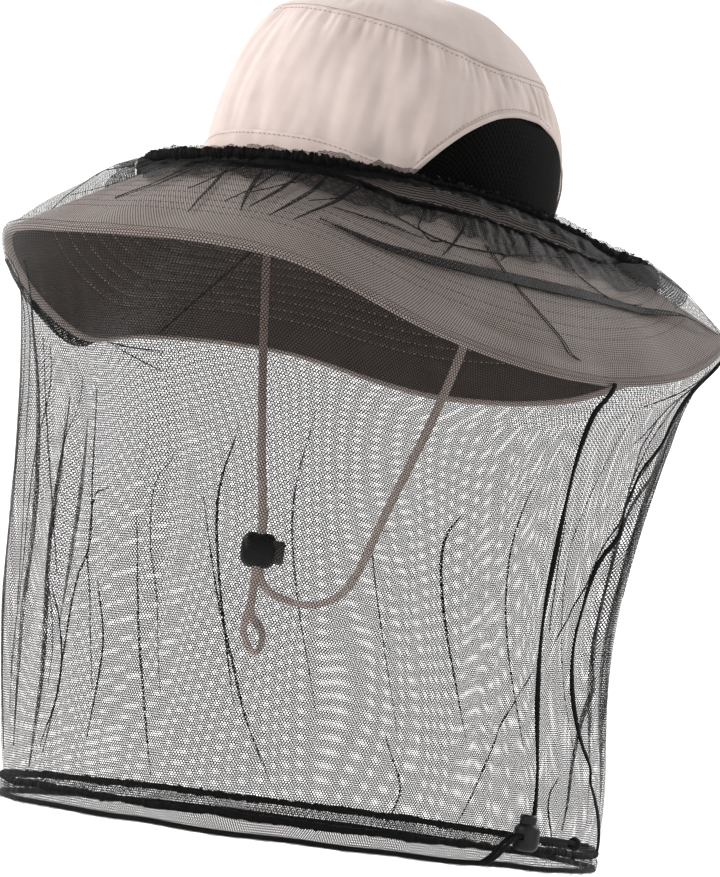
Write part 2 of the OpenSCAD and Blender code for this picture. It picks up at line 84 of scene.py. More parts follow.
def make_camera():
    """A long lens from the wearer's front left, a little below the brim, with the hat tipped on
    its stand."""
    level = Vector((-math.sin(VIEW_TURN), math.cos(VIEW_TURN), 0))
    ahead = level * math.cos(VIEW_UP) + Vector((0, 0, math.sin(VIEW_UP)))
    data = bpy.data.cameras.new("view")
    data.lens = LENS
    camera = bpy.data.objects.new("view", data)
    bpy.context.scene.collection.objects.link(camera)
    turn = ahead.to_track_quat("-Z", "Y").to_matrix() @ Matrix.Rotation(VIEW_ROLL, 3, "Z")
    camera.matrix_world = Matrix.Translation(VIEW_AT - ahead * VIEW_FROM) @ turn.to_4x4()
    data.clip_end = FAR_CLIP
    bpy.context.scene.camera = camera


def node(tree, kind, links=None, **settings):
    """Adds a node. links gives its inputs a socket or a value each, and settings are its own
    fields."""
    made = tree.nodes.new(kind)
    for key, value in settings.items():
        setattr(made, key, value)
    for key, value in (links or {}).items():
        socket = made.inputs[key]
        if isinstance(value, bpy.types.NodeSocket):
            tree.links.new(value, socket)
        else:
            socket.default_value = value
    return made


def linear(hex_colour):
    """An sRGB hex colour as linear light."""
    parts = [int(hex_colour[i:i + 2], 16) / 255 for i in (1, 3, 5)]
    return [p / 12.92 if p <= 0.04045 else ((p + 0.055) / 1.055) ** 2.4 for p in parts] + [1.0]


def make_stage():
    """A white sweep that is floor in front and wall behind, clear from its back, and soft light
    all round."""
    bm = bmesh.new()
    bmesh.ops.create_grid(bm, x_segments=2, y_segments=48, size=SWEEP_HALF)
    for v in bm.verts:
        run = v.co.y - COVE_FROM
        if run > 0:
            angle = min(run / COVE_R, math.pi / 2)
            over = max(0, run - COVE_R * math.pi / 2)
            v.co.y = COVE_FROM + COVE_R * math.sin(angle)
            v.co.z = COVE_R * (1 - math.cos(angle)) + over
        v.co.z += cad_box[0][2] - FLOOR_GAP
    bmesh.ops.rotate(bm, verts=bm.verts, cent=(0, 0, 0), matrix=Matrix.Rotation(VIEW_TURN, 3, "Z"))
    mesh = bpy.data.meshes.new("sweep")
    bm.to_mesh(mesh)
    bm.free()
    for face in mesh.polygons:
        face.use_smooth = True
    sweep = bpy.data.objects.new("sweep", mesh)
    bpy.context.scene.collection.objects.link(sweep)
    paper = bpy.data.materials.new("white_paper_sweep")
    paper.use_nodes = True
    paper.node_tree.nodes.clear()
    tree = paper.node_tree
    shader = node(tree, "ShaderNodeBsdfPrincipled",
                  {"Base Color": linear("#F7F6F5"), "Roughness": 0.9})
    facing = node(tree, "ShaderNodeNewGeometry")
    clear = node(tree, "ShaderNodeBsdfTransparent")
    one_way = node(tree, "ShaderNodeMixShader",
                   {0: facing.outputs["Backfacing"], 1: shader.outputs[0], 2: clear.outputs[0]})
    node(tree, "ShaderNodeOutputMaterial", {0: one_way.outputs[0]})
    mesh.materials.append(paper)
    world = bpy.data.worlds.new("studio")
    world.use_nodes = True
    world.node_tree.nodes["Background"].inputs[0].default_value = (1, 1, 1, 1)
    world.node_tree.nodes["Background"].inputs[1].default_value = WORLD_LIGHT
    scene = bpy.context.scene
    scene.world = world
    scene.view_settings.view_transform = "Standard"
    scene.cycles.transparent_max_bounces = 32
    for name, place, aim, size, power in LAMPS:
        lamp = bpy.data.lights.new(name, "AREA")
        lamp.shape, lamp.size, lamp.energy = "DISK", size, power
        light = bpy.data.objects.new(name, lamp)
        scene.collection.objects.link(light)
        towards = aim - Vector(place)
        turn = towards.to_track_quat("-Z", "Y").to_matrix().to_4x4()
        light.matrix_world = Matrix.Translation(place) @ turn


make_camera()


# ---------------------------------------------------------------- the hat's shape, in millimetres
CROWN_RX, CROWN_RY, SEAM_DIP, CROWN_TOP = 92, 107, 8, 112
DOME_POWER = 2.8
VENT_MID, VENT_HALF, VENT_H, VENT_POWER = 103, 45, 50, 2.2
BRIM_W, BRIM_CURL, BRIM_TOP = 119, 1.08, 1.85
# Stations at every 30 degrees: height of the top seam, fall of the rim, and the elastic's share
# of the brim's width
TOP_SEAM_Z = [88, 80, 68, 71, 74, 74, 75, 88]
RIM_FALL = [63, 68, 95, 102, 87, 53, 92, 97, 81, 89, 101, 62]
ELASTIC_PLACE = [0.27, 0.19, 0.08, 0.08, 0.22, 0.56, 0.56, 0.42, 0.28, 0.22, 0.27, 0.27]
RUFFLE_R, ELASTIC_R, ELASTIC_GAP = 3.8, 1.3, 0.4
HEM_RX, HEM_RY, HEM_DROP, HEM_H, HEM_CENTRE = 145, 185, 366, 11, 5
CURTAIN_OFF, DRAWCORD_R = 3.4, 1.5
TUCK_IN, TUCK_HIGH, TUCK_START = 15, 0.45, 0.07
WAIST_MEAN, WAIST_SWING, WAIST_TURN, WAIST_LOW = 6, 7, 150, 1.4
# Angles of the curtain's two taped seams, evenly spaced from the rim down to the hem
SIDE_SEAM = [99, 99, 99, 99, 100, 100, 98]
REAR_SEAM = [138, 126, 117, 112, 113, 120, 136]


def sin(degrees):
    """The sine of an angle in degrees."""
    return math.sin(math.radians(degrees))


def cos(degrees):
    """The cosine of an angle in degrees."""
    return math.cos(math.radians(degrees))


def mix(a, b, f):
    """The value a share f of the way from a to b."""
    return a + (b - a) * f


def cubic(p0, p1, p2, p3, f):
    """A smooth curve from p1 to p2 that goes on to its neighbours p0 and p3."""
    return 0.5 * (2 * p1 + (p2 - p0) * f + (2 * p0 - 5 * p1 + 4 * p2 - p3) * f * f
                  + (3 * p1 - p0 - 3 * p2 + p3) * f * f * f)


def around(stations, a):
    """The value at an angle of a smooth closed outline through evenly spaced stations."""
    n = len(stations)
    place = (a % 360) / 360 * n
    i = math.floor(place)
    return cubic(stations[i - 1], stations[i % n], stations[(i + 1) % n], stations[(i + 2) % n],
                 place - i)


def smooth(f):
    """An even rise from 0 to 1 with soft ends."""
    f = min(1, max(0, f))
    return f * f * (3 - 2 * f)


def foot(a):
    """A point on the seam of crown and brim."""
    return Vector((CROWN_RX * sin(a), -CROWN_RY * cos(a), -SEAM_DIP * sin(a) ** 2))


def outward(a):
    """The level way out from the crown's foot."""
    return Vector((sin(a) / CROWN_RX, -cos(a) / CROWN_RY, 0)).normalized()


def crown_scale(a, h):
    """How the crown narrows as it rises: its front leans back and its rear swells first."""
    front = 1 - 0.04 * h - 0.23 * h ** 3
    rear = 1 + 0.12 * h - 0.24 * h * h
    return mix(front, rear, (1 - cos(a)) / 2)


def wall_height(a):
    """Height of the crown's side from the brim seam to the top seam."""
    return around(TOP_SEAM_Z, a) + SEAM_DIP * sin(a) ** 2


def crown_wall(a, h, out=0):
    """The crown's side: h runs from the brim seam, 0, to the top seam, 1."""
    k, f = crown_scale(a, h), foot(a)
    return Vector((f.x * k, f.y * k, mix(f.z, around(TOP_SEAM_Z, a), h))) + outward(a) * out


def crown_dome(a, r, lift=0):
    """The crown's top: r runs from the middle, 0, to the top seam, 1."""
    edge = crown_wall(a, 1)
    return Vector((edge.x * r, edge.y * r, mix(CROWN_TOP, edge.z, r ** DOME_POWER) + lift))


def arch(a):
    """The share of the crown's height that a vent takes at an angle."""
    turn = abs(abs((a + 180) % 360 - 180) - VENT_MID)
    return max(0, 1 - min(1, turn / VENT_HALF) ** VENT_POWER) * VENT_H / wall_height(a)


def fall(a):
    """How far the brim drops from the crown to its rim."""
    return around(RIM_FALL, a) - SEAM_DIP * sin(a) ** 2


def reach(a):
    """How far the brim stands out from the crown, seen from above."""
    return math.sqrt(BRIM_W ** 2 - fall(a) ** 2)


def brim_up(a):
    """The way square to the brim's top."""
    return (outward(a) * fall(a) + Vector((0, 0, reach(a)))).normalized()


def brim(a, s, lift=0):
    """The brim: s runs from the crown, 0, to the rim, 1, and lift is height over its middle
    layer."""
    return (foot(a) + outward(a) * reach(a) * s - Vector((0, 0, fall(a) * max(s, 0) ** BRIM_CURL))
            + brim_up(a) * lift)


def hem_point(a, out, z):
    """A point on the hem's oval, some way out from it, at a height."""
    return Vector((HEM_CENTRE + (HEM_RX + out) * sin(a), HEM_CENTRE - (HEM_RY + out) * cos(a), z))


HEM_TOP = HEM_H - HEM_DROP


def drawn_in(a, f):
    """How far the curtain falls in: under the rim all round, and lower down behind the left
    shoulder."""
    f = max(f, 0)
    return (TUCK_IN * sin(180 * f ** TUCK_HIGH) ** 2 * smooth(f / TUCK_START)
            + (WAIST_MEAN + WAIST_SWING * cos(a - WAIST_TURN)) * sin(180 * f ** WAIST_LOW) ** 2)


def curtain(a, f, out=0):
    """The net below the rim: f runs from the rim, 0, to the hem, 1."""
    top = brim(a, 1) + outward(a) * CURTAIN_OFF
    return top.lerp(hem_point(a, 0, HEM_TOP), f) + outward(a) * (out - drawn_in(a, f))


def elastic_at(a):
    """The middle of the elastic in the veil's top edge."""
    return brim(a, around(ELASTIC_PLACE, a), BRIM_TOP + RUFFLE_R + ELASTIC_GAP)


CIRCLE_R = 57.3  # radius of a circle that is 360 long
SEED_X, SEED_Y, SEED_V = 31.7, -17.3, 3.1


def swirl(a, pace, v=0.0, seed=0):
    """Smooth noise round the hat, which meets itself behind, with pace waves to a degree."""
    r = pace * CIRCLE_R
    return noise.noise(Vector((r * sin(a) + SEED_X * seed, r * cos(a) + SEED_Y * seed,
                               v + SEED_V * seed)))


def along_places(places, t):
    """The value at t, counted in places, of a smooth line through them."""
    last = len(places) - 1
    i = min(int(t), last - 1)
    before = places[i - 1] if i > 0 else 2 * places[0] - places[1]
    after = places[i + 2] if i < last - 1 else 2 * places[last] - places[last - 1]
    return cubic(before, places[i], places[i + 1], after, t - i)


# ---------------------------------------------------------------- mesh helpers
def finish_piece(bm, name, body, material, stands_for=None, thickness=0):
    """Makes a piece of a bmesh. It rides its body if it is given one, takes the place of a CAD part
    if it stands for one, and cloth gets its thickness, in millimetres, on its inner side."""
    mesh = bpy.data.meshes.new(name)
    bm.to_mesh(mesh)
    bm.free()
    for face in mesh.polygons:
        face.use_smooth = True
    piece = bpy.data.objects.new(name, mesh)
    bpy.context.scene.collection.objects.link(piece)
    mesh.materials.append(material)
    if body:
        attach(piece, body)
    if stands_for:
        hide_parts(stands_for)
    if thickness:
        solid = piece.modifiers.new("thickness", "SOLIDIFY")
        solid.thickness, solid.offset, solid.use_even_offset = thickness * MM, -1.0, False
    return piece


def woven(cols, rows, place, flat, closed=False):
    """A grid of cloth. place turns a share across and a share up into a point in millimetres, and
    flat is the cloth's size in metres, which its own map keeps."""
    bm = bmesh.new()
    bmesh.ops.create_grid(bm, x_segments=cols, y_segments=rows, size=0.5)
    layer = bm.loops.layers.uv.new("cut")
    for face in bm.faces:
        for loop in face.loops:
            loop[layer].uv = ((loop.vert.co.x + 0.5) * flat[0], (loop.vert.co.y + 0.5) * flat[1])
    edge = [v for v in bm.verts if abs(abs(v.co.x) - 0.5) < 1e-6]
    for v in bm.verts:
        v.co = place(v.co.x + 0.5, v.co.y + 0.5) * MM
    if closed:
        bmesh.ops.remove_doubles(bm, verts=edge, dist=2e-6)
    return bm


def seal(bm):
    """Welds a rolled-up grid along its seam and points its faces outwards."""
    bmesh.ops.remove_doubles(bm, verts=bm.verts, dist=1e-6)
    bmesh.ops.recalc_face_normals(bm, faces=bm.faces)
    return bm


UNROLLED = 3.2  # a tube's way round, in mean half-sizes, on its flat map


def tube(points, radius_at, sides, across, closed=False):
    """A swept tube or ribbon in a bmesh, with its length. radius_at gives its two half-sizes and
    its turn at a share along, and across gives its wide way from a point's number and the
    direction there."""
    n = len(points)
    steps = [(points[(i + 1) % n] - points[i]).length for i in range(n if closed else n - 1)]
    total = sum(steps)
    run = [0.0]
    for step in steps:
        run.append(run[-1] + step)

    def place(s, t):
        i = round(t * (n if closed else n - 1)) % n
        if closed:
            along = (points[(i + 1) % n] - points[i - 1]).normalized()
        else:
            along = (points[min(n - 1, i + 1)] - points[max(0, i - 1)]).normalized()
        wide_way = across(i, along)
        over = along.cross(wide_way)
        half_w, half_t, turn = radius_at(i / n)
        w = wide_way * cos(turn) + over * sin(turn)
        o = along.cross(w)
        return points[i] + w * half_w * cos(360 * s) + o * half_t * sin(360 * s)

    bm = bmesh.new()
    rows = n if closed else n - 1
    bmesh.ops.create_grid(bm, x_segments=sides, y_segments=rows, size=0.5)
    layer = bm.loops.layers.uv.new("cut")
    width = sum(radius_at(0.5)[:2]) * UNROLLED
    for face in bm.faces:
        for loop in face.loops:
            share = (loop.vert.co.y + 0.5) * rows
            loop[layer].uv = ((loop.vert.co.x + 0.5) * width * MM, run[round(share)] * MM)
    for v in bm.verts:
        v.co = place(v.co.x + 0.5, v.co.y + 0.5) * MM
    bmesh.ops.remove_doubles(bm, verts=bm.verts, dist=1e-6)
    if not closed:
        bmesh.ops.holes_fill(bm, edges=bm.edges, sides=sides)
    bmesh.ops.recalc_face_normals(bm, faces=bm.faces)
    return bm, total


def joined(parts):
    """One bmesh of several."""
    whole = bmesh.new()
    for part in parts:
        loose = bpy.data.meshes.new("loose")
        part.to_mesh(loose)
        part.free()
        whole.from_mesh(loose)
        bpy.data.meshes.remove(loose)
    return whole


THREAD_LIFT = 0.15


def stitches(name, lines, material, length, pitch, thick):
    """Rows of thread on the hat: small capsules laid along lines of (point, normal) pairs."""
    seed = bmesh.new()
    bmesh.ops.create_icosphere(seed, subdivisions=1, radius=1)
    seed_mesh = bpy.data.meshes.new("one_stitch")
    seed.to_mesh(seed_mesh)
    seed.free()
    bm = bmesh.new()
    for line in lines:
        left = pitch / 2
        for (p, up), (q, _) in zip(line, line[1:]):
            step = (q - p).length
            if step < 1e-6:
                continue
            along = (q - p) / step
            while left < step:
                centre = p + along * left + up * THREAD_LIFT
                side = up.cross(along).normalized()
                start = len(bm.verts)
                bm.from_mesh(seed_mesh)
                bm.verts.ensure_lookup_table()
                for v in bm.verts[start:]:
                    c = v.co
                    v.co = (centre + along * c.x * length / 2 + side * c.y * thick / 2
                            + side.cross(along) * -c.z * thick / 2) * MM
                left += pitch
            left -= step
    bpy.data.meshes.remove(seed_mesh)
    finish_piece(bm, name, "hat", material)


# ---------------------------------------------------------------- materials
def new_material(name):
    """An empty material and its node tree."""
    made = bpy.data.materials.new(name)
    made.use_nodes = True
    made.node_tree.nodes.clear()
    return made, made.node_tree


def close(tree, shader_links, bump=None):
    """Ends a material in its shader, with a bump if it has one."""
    shader = node(tree, "ShaderNodeBsdfPrincipled", shader_links)
    if bump is not None:
        tree.links.new(bump, shader.inputs["Normal"])
    node(tree, "ShaderNodeOutputMaterial", {0: shader.outputs[0]})


def crossed_waves(tree, vector, turns, length):
    """The sum of even waves of one length that run at several angles, which peaks on a lattice."""
    total = None
    for turn in turns:
        way = (cos(turn) * 2 * math.pi / length, sin(turn) * 2 * math.pi / length, 0)
        dot = node(tree, "ShaderNodeVectorMath", {0: vector, 1: way}, operation="DOT_PRODUCT")
        wave = node(tree, "ShaderNodeMath", {0: dot.outputs["Value"]}, operation="COSINE")
        if total is None:
            total = wave
        else:
            total = node(tree, "ShaderNodeMath", {0: total.outputs[0], 1: wave.outputs[0]},
                         operation="ADD")
    return total.outputs[0]


WAVE_PERIOD = 0.314  # what one band of a wave texture spans at scale 1
THREADS_TO_A_WAVE = 10


def woven_cloth(name, light, dark, thread_mm=0.9):
    """Plain-woven brushed polyester: matt, with a slight sheen from its nap. Its threads are too
    fine to show one by one, so soft crossed waves ten threads wide stand for them, over a cloudy
    change of tone where the cloth has been handled."""
    made, tree = new_material(name)
    place = node(tree, "ShaderNodeTexCoord")
    uv = node(tree, "ShaderNodeUVMap", uv_map="cut")
    cloud = node(tree, "ShaderNodeTexNoise",
                 {"Vector": place.outputs["Object"], "Scale": 22.0, "Detail": 4.0,
                  "Roughness": 0.6})
    weave = {"Vector": uv.outputs[0], "Scale": WAVE_PERIOD / (thread_mm * MM) / THREADS_TO_A_WAVE,
             "Distortion": 0.6, "Detail": 1.0}
    warp = node(tree, "ShaderNodeTexWave", weave, bands_direction="X")
    weft = node(tree, "ShaderNodeTexWave", weave, bands_direction="Y")
    threads = node(tree, "ShaderNodeMath", {0: warp.outputs["Fac"], 1: weft.outputs["Fac"]},
                   operation="ADD")
    tone = node(tree, "ShaderNodeMath", {0: threads.outputs[0], 1: 0.02, 2: cloud.outputs["Fac"]},
                operation="MULTIPLY_ADD")
    ramp = node(tree, "ShaderNodeValToRGB", {"Fac": tone.outputs[0]})
    ramp.color_ramp.elements[0].position, ramp.color_ramp.elements[0].color = 0.3, linear(dark)
    ramp.color_ramp.elements[1].position, ramp.color_ramp.elements[1].color = 0.75, linear(light)
    bump = node(tree, "ShaderNodeBump",
                {"Height": threads.outputs[0], "Strength": 0.35, "Distance": 0.05 * MM})
    close(tree, {"Base Color": ramp.outputs[0], "Roughness": 0.86, "Sheen Weight": 0.25,
                 "Sheen Roughness": 0.5, "IOR": 1.5, "Specular IOR Level": 0.25}, bump.outputs[0])
    return made


def thread(name, colour):
    """Spun polyester thread: matt, with a slight sheen along the strand."""
    made, tree = new_material(name)
    place = node(tree, "ShaderNodeTexCoord")
    fibre = node(tree, "ShaderNodeTexNoise",
                 {"Vector": place.outputs["Object"], "Scale": 900.0, "Detail": 2.0})
    ramp = node(tree, "ShaderNodeValToRGB", {"Fac": fibre.outputs["Fac"]})
    ramp.color_ramp.elements[0].color = [c * 0.7 for c in linear(colour)[:3]] + [1]
    ramp.color_ramp.elements[1].color = linear(colour)
    close(tree, {"Base Color": ramp.outputs[0], "Roughness": 0.7, "Sheen Weight": 0.3})
    return made


TULLE_PITCH, TULLE_EDGE = 1.6, 0.12


def tulle(name, colour, thread_share):
    """Knitted hexagonal tulle, matt black. Three waves a third of a turn apart peak at the middle
    of each hole, so the thread is what lies below a level of their sum, and the rest is open."""
    made, tree = new_material(name)
    uv = node(tree, "ShaderNodeUVMap", uv_map="cut")
    peaks = crossed_waves(tree, uv.outputs[0], (90, 210, 330), TULLE_PITCH * MM * math.sqrt(3) / 2)
    level = mix(-1.5, 1.2, thread_share)
    cover = node(tree, "ShaderNodeMapRange",
                 {"Value": peaks, "From Min": level - TULLE_EDGE, "From Max": level + TULLE_EDGE,
                  "To Min": 1.0, "To Max": 0.0})
    place = node(tree, "ShaderNodeTexCoord")
    lint = node(tree, "ShaderNodeTexNoise",
                {"Vector": place.outputs["Object"], "Scale": 60.0, "Detail": 2.0})
    ramp = node(tree, "ShaderNodeValToRGB", {"Fac": lint.outputs["Fac"]})
    ramp.color_ramp.elements[0].color = linear(colour)
    ramp.color_ramp.elements[1].color = [c + 0.004 for c in linear(colour)[:3]] + [1]
    close(tree, {"Base Color": ramp.outputs[0], "Roughness": 0.55, "Alpha": cover.outputs[0],
                 "Specular IOR Level": 0.12})
    return made


def net_tape(name, colour):
    """Net folded on itself and bound with tape: nearly solid black, with small knitted cells and
    lint."""
    made, tree = new_material(name)
    uv = node(tree, "ShaderNodeUVMap", uv_map="cut")
    place = node(tree, "ShaderNodeTexCoord")
    rib = node(tree, "ShaderNodeTexVoronoi", {"Vector": uv.outputs[0], "Scale": 700.0},
               feature="F1")
    fuzz = node(tree, "ShaderNodeTexNoise",
                {"Vector": place.outputs["Object"], "Scale": 300.0, "Detail": 3.0})
    both = node(tree, "ShaderNodeMath", {0: rib.outputs["Distance"], 1: fuzz.outputs["Fac"]},
                operation="MULTIPLY")
    ramp = node(tree, "ShaderNodeValToRGB", {"Fac": both.outputs[0]})
    ramp.color_ramp.elements[0].color = linear(colour)
    ramp.color_ramp.elements[1].color = linear("#111111")
    bump = node(tree, "ShaderNodeBump",
                {"Height": rib.outputs["Distance"], "Strength": 0.6, "Distance": 0.3 * MM})
    close(tree, {"Base Color": ramp.outputs[0], "Roughness": 0.8, "Specular IOR Level": 0.15},
          bump.outputs[0])
    return made


SPACER_WAVE = 2.7


def spacer_mesh(name):
    """Warp-knitted spacer mesh: diamond holes in staggered rows, set back from the knit, with
    painted shade that colours the holes darker than the knit."""
    made, tree = new_material(name)
    uv = node(tree, "ShaderNodeUVMap", uv_map="cut")
    peaks = crossed_waves(tree, uv.outputs[0], (26, -26), SPACER_WAVE * MM)
    hole_and_shade = node(tree, "ShaderNodeMapRange", {"Value": peaks, "From Min": 0.1, "From Max": 0.7})
    # painted shade: the holes are coloured darker than the knit, for the shade inside them
    ramp = node(tree, "ShaderNodeValToRGB", {"Fac": hole_and_shade.outputs[0]})
    ramp.color_ramp.elements[0].color = linear("#0D0D0C")
    ramp.color_ramp.elements[1].color = linear("#020202")
    depth = node(tree, "ShaderNodeMath", {0: 1.0, 1: hole_and_shade.outputs[0]}, operation="SUBTRACT")
    bump = node(tree, "ShaderNodeBump",
                {"Height": depth.outputs[0], "Strength": 0.9, "Distance": 0.8 * MM})
    close(tree, {"Base Color": ramp.outputs[0], "Roughness": 0.85, "Specular IOR Level": 0.05},
          bump.outputs[0])
    return made


def braid(name, light, dark, rib_mm=1.1):
    """Braided cord: short slanting stitches all along it, proud of the gaps between them."""
    made, tree = new_material(name)
    uv = node(tree, "ShaderNodeUVMap", uv_map="cut")
    parts = node(tree, "ShaderNodeSeparateXYZ", {0: uv.outputs[0]})
    slant = node(tree, "ShaderNodeMath", {0: parts.outputs["X"], 1: 1.2, 2: parts.outputs["Y"]},
                 operation="MULTIPLY_ADD")
    rib = node(tree, "ShaderNodeMath", {0: slant.outputs[0], 1: 2 * math.pi / (rib_mm * MM)},
               operation="MULTIPLY")
    wave = node(tree, "ShaderNodeMath", {0: rib.outputs[0]}, operation="SINE")
    ramp = node(tree, "ShaderNodeValToRGB", {"Fac": wave.outputs[0]})
    ramp.color_ramp.elements[0].color = linear(dark)
    ramp.color_ramp.elements[1].color = linear(light)
    bump = node(tree, "ShaderNodeBump",
                {"Height": wave.outputs[0], "Strength": 0.5, "Distance": 0.25 * MM})
    close(tree, {"Base Color": ramp.outputs[0], "Roughness": 0.75, "Specular IOR Level": 0.2},
          bump.outputs[0])
    return made


def moulded(name, colour, rough_value=0.42):
    """Injection-moulded acetal: dark, a little shiny, with a fine spark-eroded grain of 0.4 mm."""
    made, tree = new_material(name)
    place = node(tree, "ShaderNodeTexCoord")
    dust = node(tree, "ShaderNodeTexNoise",
                {"Vector": place.outputs["Object"], "Scale": 2500.0, "Detail": 2.0})
    ramp = node(tree, "ShaderNodeValToRGB", {"Fac": dust.outputs["Fac"]})
    ramp.color_ramp.elements[0].color = linear(colour)
    ramp.color_ramp.elements[1].color = [c * 1.5 + 0.004 for c in linear(colour)[:3]] + [1]
    gloss = node(tree, "ShaderNodeMapRange",
                 {"Value": dust.outputs["Fac"], "To Min": rough_value - 0.06,
                  "To Max": rough_value + 0.1})
    bump = node(tree, "ShaderNodeBump",
                {"Height": dust.outputs["Fac"], "Strength": 0.15, "Distance": 0.05 * MM})
    close(tree, {"Base Color": ramp.outputs[0], "Roughness": gloss.outputs[0], "IOR": 1.48,
                 "Specular IOR Level": 0.35}, bump.outputs[0])
    return made


def drawn_wire(name):
    """Drawn spring steel: bright metal whose gloss varies a little along the wire."""
    made, tree = new_material(name)
    place = node(tree, "ShaderNodeTexCoord")
    streak = node(tree, "ShaderNodeTexNoise",
                  {"Vector": place.outputs["Object"], "Scale": 1800.0, "Detail": 3.0})
    gloss = node(tree, "ShaderNodeMapRange",
                 {"Value": streak.outputs["Fac"], "To Min": 0.2, "To Max": 0.4})
    close(tree, {"Base Color": linear("#B9BCC0"), "Metallic": 1.0, "Roughness": gloss.outputs[0]})
    return made


CROWN_CLOTH = woven_cloth("brushed_polyester_taupe", "#D6C6C0", "#C4B3AC")
BRIM_CLOTH = woven_cloth("brushed_polyester_taupe_brim", "#D6C7C0", "#C2B2AA")
UNDER_CLOTH = woven_cloth("brushed_polyester_under_brim", "#5C504B", "#4B413C")
BINDING_CLOTH = woven_cloth("bias_tape_taupe", "#D2C3BC", "#C0B1AA", thread_mm=0.7)
LINING_CLOTH = woven_cloth("sweatband_twill", "#A5968D", "#8C7D74", thread_mm=1.0)
CORE_FOAM = woven_cloth("stiff_interlining", "#D2CEC8", "#BDB8B0", thread_mm=1.2)
SEWING_THREAD = thread("spun_thread_taupe", "#A59289")
UNDER_THREAD = thread("spun_thread_under", "#C9BAB1")
UNDER_SEAM = woven_cloth("under_brim_seam_fold", "#2B2522", "#201B19")
VENT_MESH = spacer_mesh("black_spacer_mesh")
NET = tulle("black_tulle", "#080808", 0.35)
NET_DOUBLE = tulle("black_tulle_gathered", "#080808", 0.6)
NET_LAP = tulle("black_tulle_lap", "#060606", 0.6)
NET_CREASE = tulle("black_tulle_crease", "#050505", 0.8)
NET_TAPE = net_tape("black_net_tape", "#050505")
CORD_BLACK = braid("black_braided_elastic", "#161617", "#050505", rib_mm=0.9)
# painted light: the braid's colours are set light, so that it stays bright through the shade under
# the brim and the net in front of it
CHIN_BRAID = braid("mauve_flat_braid", "#F0E2DC", "#D8C6BE")
LOCK_PLASTIC = moulded("black_acetal", "#0A0A0A")
BUTTON_PLASTIC = moulded("grey_acetal", "#4A4644", rough_value=0.5)
SPRING_WIRE = drawn_wire("drawn_spring_steel")


def dress(name, material):
    """Gives a CAD part that stays its own finish."""
    for place in NODES[name].material_slots:
        place.material = material


# ---------------------------------------------------------------- cords
# The chin cord's way, from anchor to anchor: x, y, z, and its twist in degrees
CHIN_ROUTE = [
    (-84.5, 0, -12.7, 0), (-81, -4, -40, 0), (-68, -11, -80, 0), (-54, -18, -120, 0),
    (-40, -24, -160, 0), (-32, -26, -186, 0), (-30, -26, -199, 0), (-30, -26, -212, 0),
    (-30, -26, -226, 0), (-30, -26, -242, 0), (-32, -27, -256, 30), (-29, -24, -267, 45),
    (-25, -20, -268, 45), (-26, -18, -258, 35), (-34, -21, -248, 0), (-34, -22, -238, 0),
    (-34, -22, -225, 0), (-34, -22, -212, 0), (-34, -22, -199, 0), (-37, -19, -190, 0),
    (-41, -15, -189, 0), (-43, -13, -199, 0), (-42, -14, -217, 0), (-37, -10, -232, 20),
    (-24, -1, -238, 40), (-6, 5, -237, 40), (13, 8, -223, 20), (37, 6, -176, 0), (60, 6, -128, 0),
    (78, 5, -81, 0), (84, 2, -40, 0), (84.5, 0, -12.7, 0)]
STRAP_W, STRAP_T = 4.8, 1.5
VIEW_ALONG = Vector((1, -1, 0)).normalized()  # the flat of the braid faces this way


def along_route(route, per_leg):
    """Points on the smooth curve through a cord's route."""
    found = []
    last = len(route) - 1
    for k in range(last * per_leg + 1):
        i = min(k // per_leg, last - 1)
        f = k / per_leg - i
        start = Vector(route[i])
        end = Vector(route[i + 1])
        before = Vector(route[i - 1]) if i > 0 else 2 * start - end
        after = Vector(route[i + 2]) if i < last - 1 else 2 * end - start
        found.append(cubic(before, start, end, after, f))
    return found


def make_chin_cord():
    """The flat braid from one anchor to the other, twice through its lock, with a loop below it."""
    line = along_route([Vector(p) for p in CHIN_ROUTE], 8)
    points = [p.xyz for p in line]
    turns = [p.w for p in line]

    def shape(share):
        return STRAP_W / 2, STRAP_T / 2, turns[min(len(turns) - 1, round(share * len(turns)))]

    bm, length = tube(points, shape, 16, lambda i, along: VIEW_ALONG.cross(along).normalized())
    cord = finish_piece(bm, "chin_cord_braid", "hat", CHIN_BRAID, "chin_cord")


HEM_LOCK_TURN = math.radians(92)
HEM_LOCK_AT = hem_point(93, 11.5, 19 - HEM_DROP)
# The way of the drawcord's ends, from the middle of the hem's lock
TAIL_ROUTE = [(-24, 7, -16), (-20, 3, -11), (-15, 0, -3), (-9, 0, 0), (0, 0, 0), (12, 0, 0),
              (24, 0, 0), (34, 0, 0), (40, 0, -1)]
TAIL_R, TAIL_GAP = 1.2, 1.9


def at_hem_lock(p):
    """A point given from the middle of the hem's lock."""
    return HEM_LOCK_AT + Matrix.Rotation(HEM_LOCK_TURN, 3, "Z") @ Vector(p)


def make_hem_tails():
    """The drawcord's two ends, from the hem through the lock to the knot."""
    for side, name in ((-1, "hem_cord_tail_outer"), (1, "hem_cord_tail_inner")):
        route = [(x, y + side * TAIL_GAP, z) for x, y, z in TAIL_ROUTE]
        points = [at_hem_lock(p) for p in along_route([Vector(p) for p in route], 6)]
        bm, length = tube(points, lambda share: (TAIL_R, TAIL_R, 0), 10,
                          lambda i, along: along.cross(Vector((0, 0, 1))).normalized())
        stands_for = "hem_cord_tails" if side < 0 else None
        tail = finish_piece(bm, name, "hem", CORD_BLACK, stands_for)


make_chin_cord()
make_hem_tails()


# ---------------------------------------------------------------- the crown
def window(x, low, high, soft):
    """1 between two limits, falling smoothly to 0 outside them."""
    return smooth((x - low) / soft) * smooth((high - x) / soft)


CLOTH_T = 0.7
CROWN_ROUND = 0.615  # metres round the crown
# Folds of the crown's cloth: waves to a degree, waves up the side, seed, depth, and lean in degrees
CROWN_FOLDS = ((0.030, 1.1, 3, 2.2, 0), (0.085, 1.3, 7, 2.8, 9), (0.21, 2.6, 1, 1.2, -6))
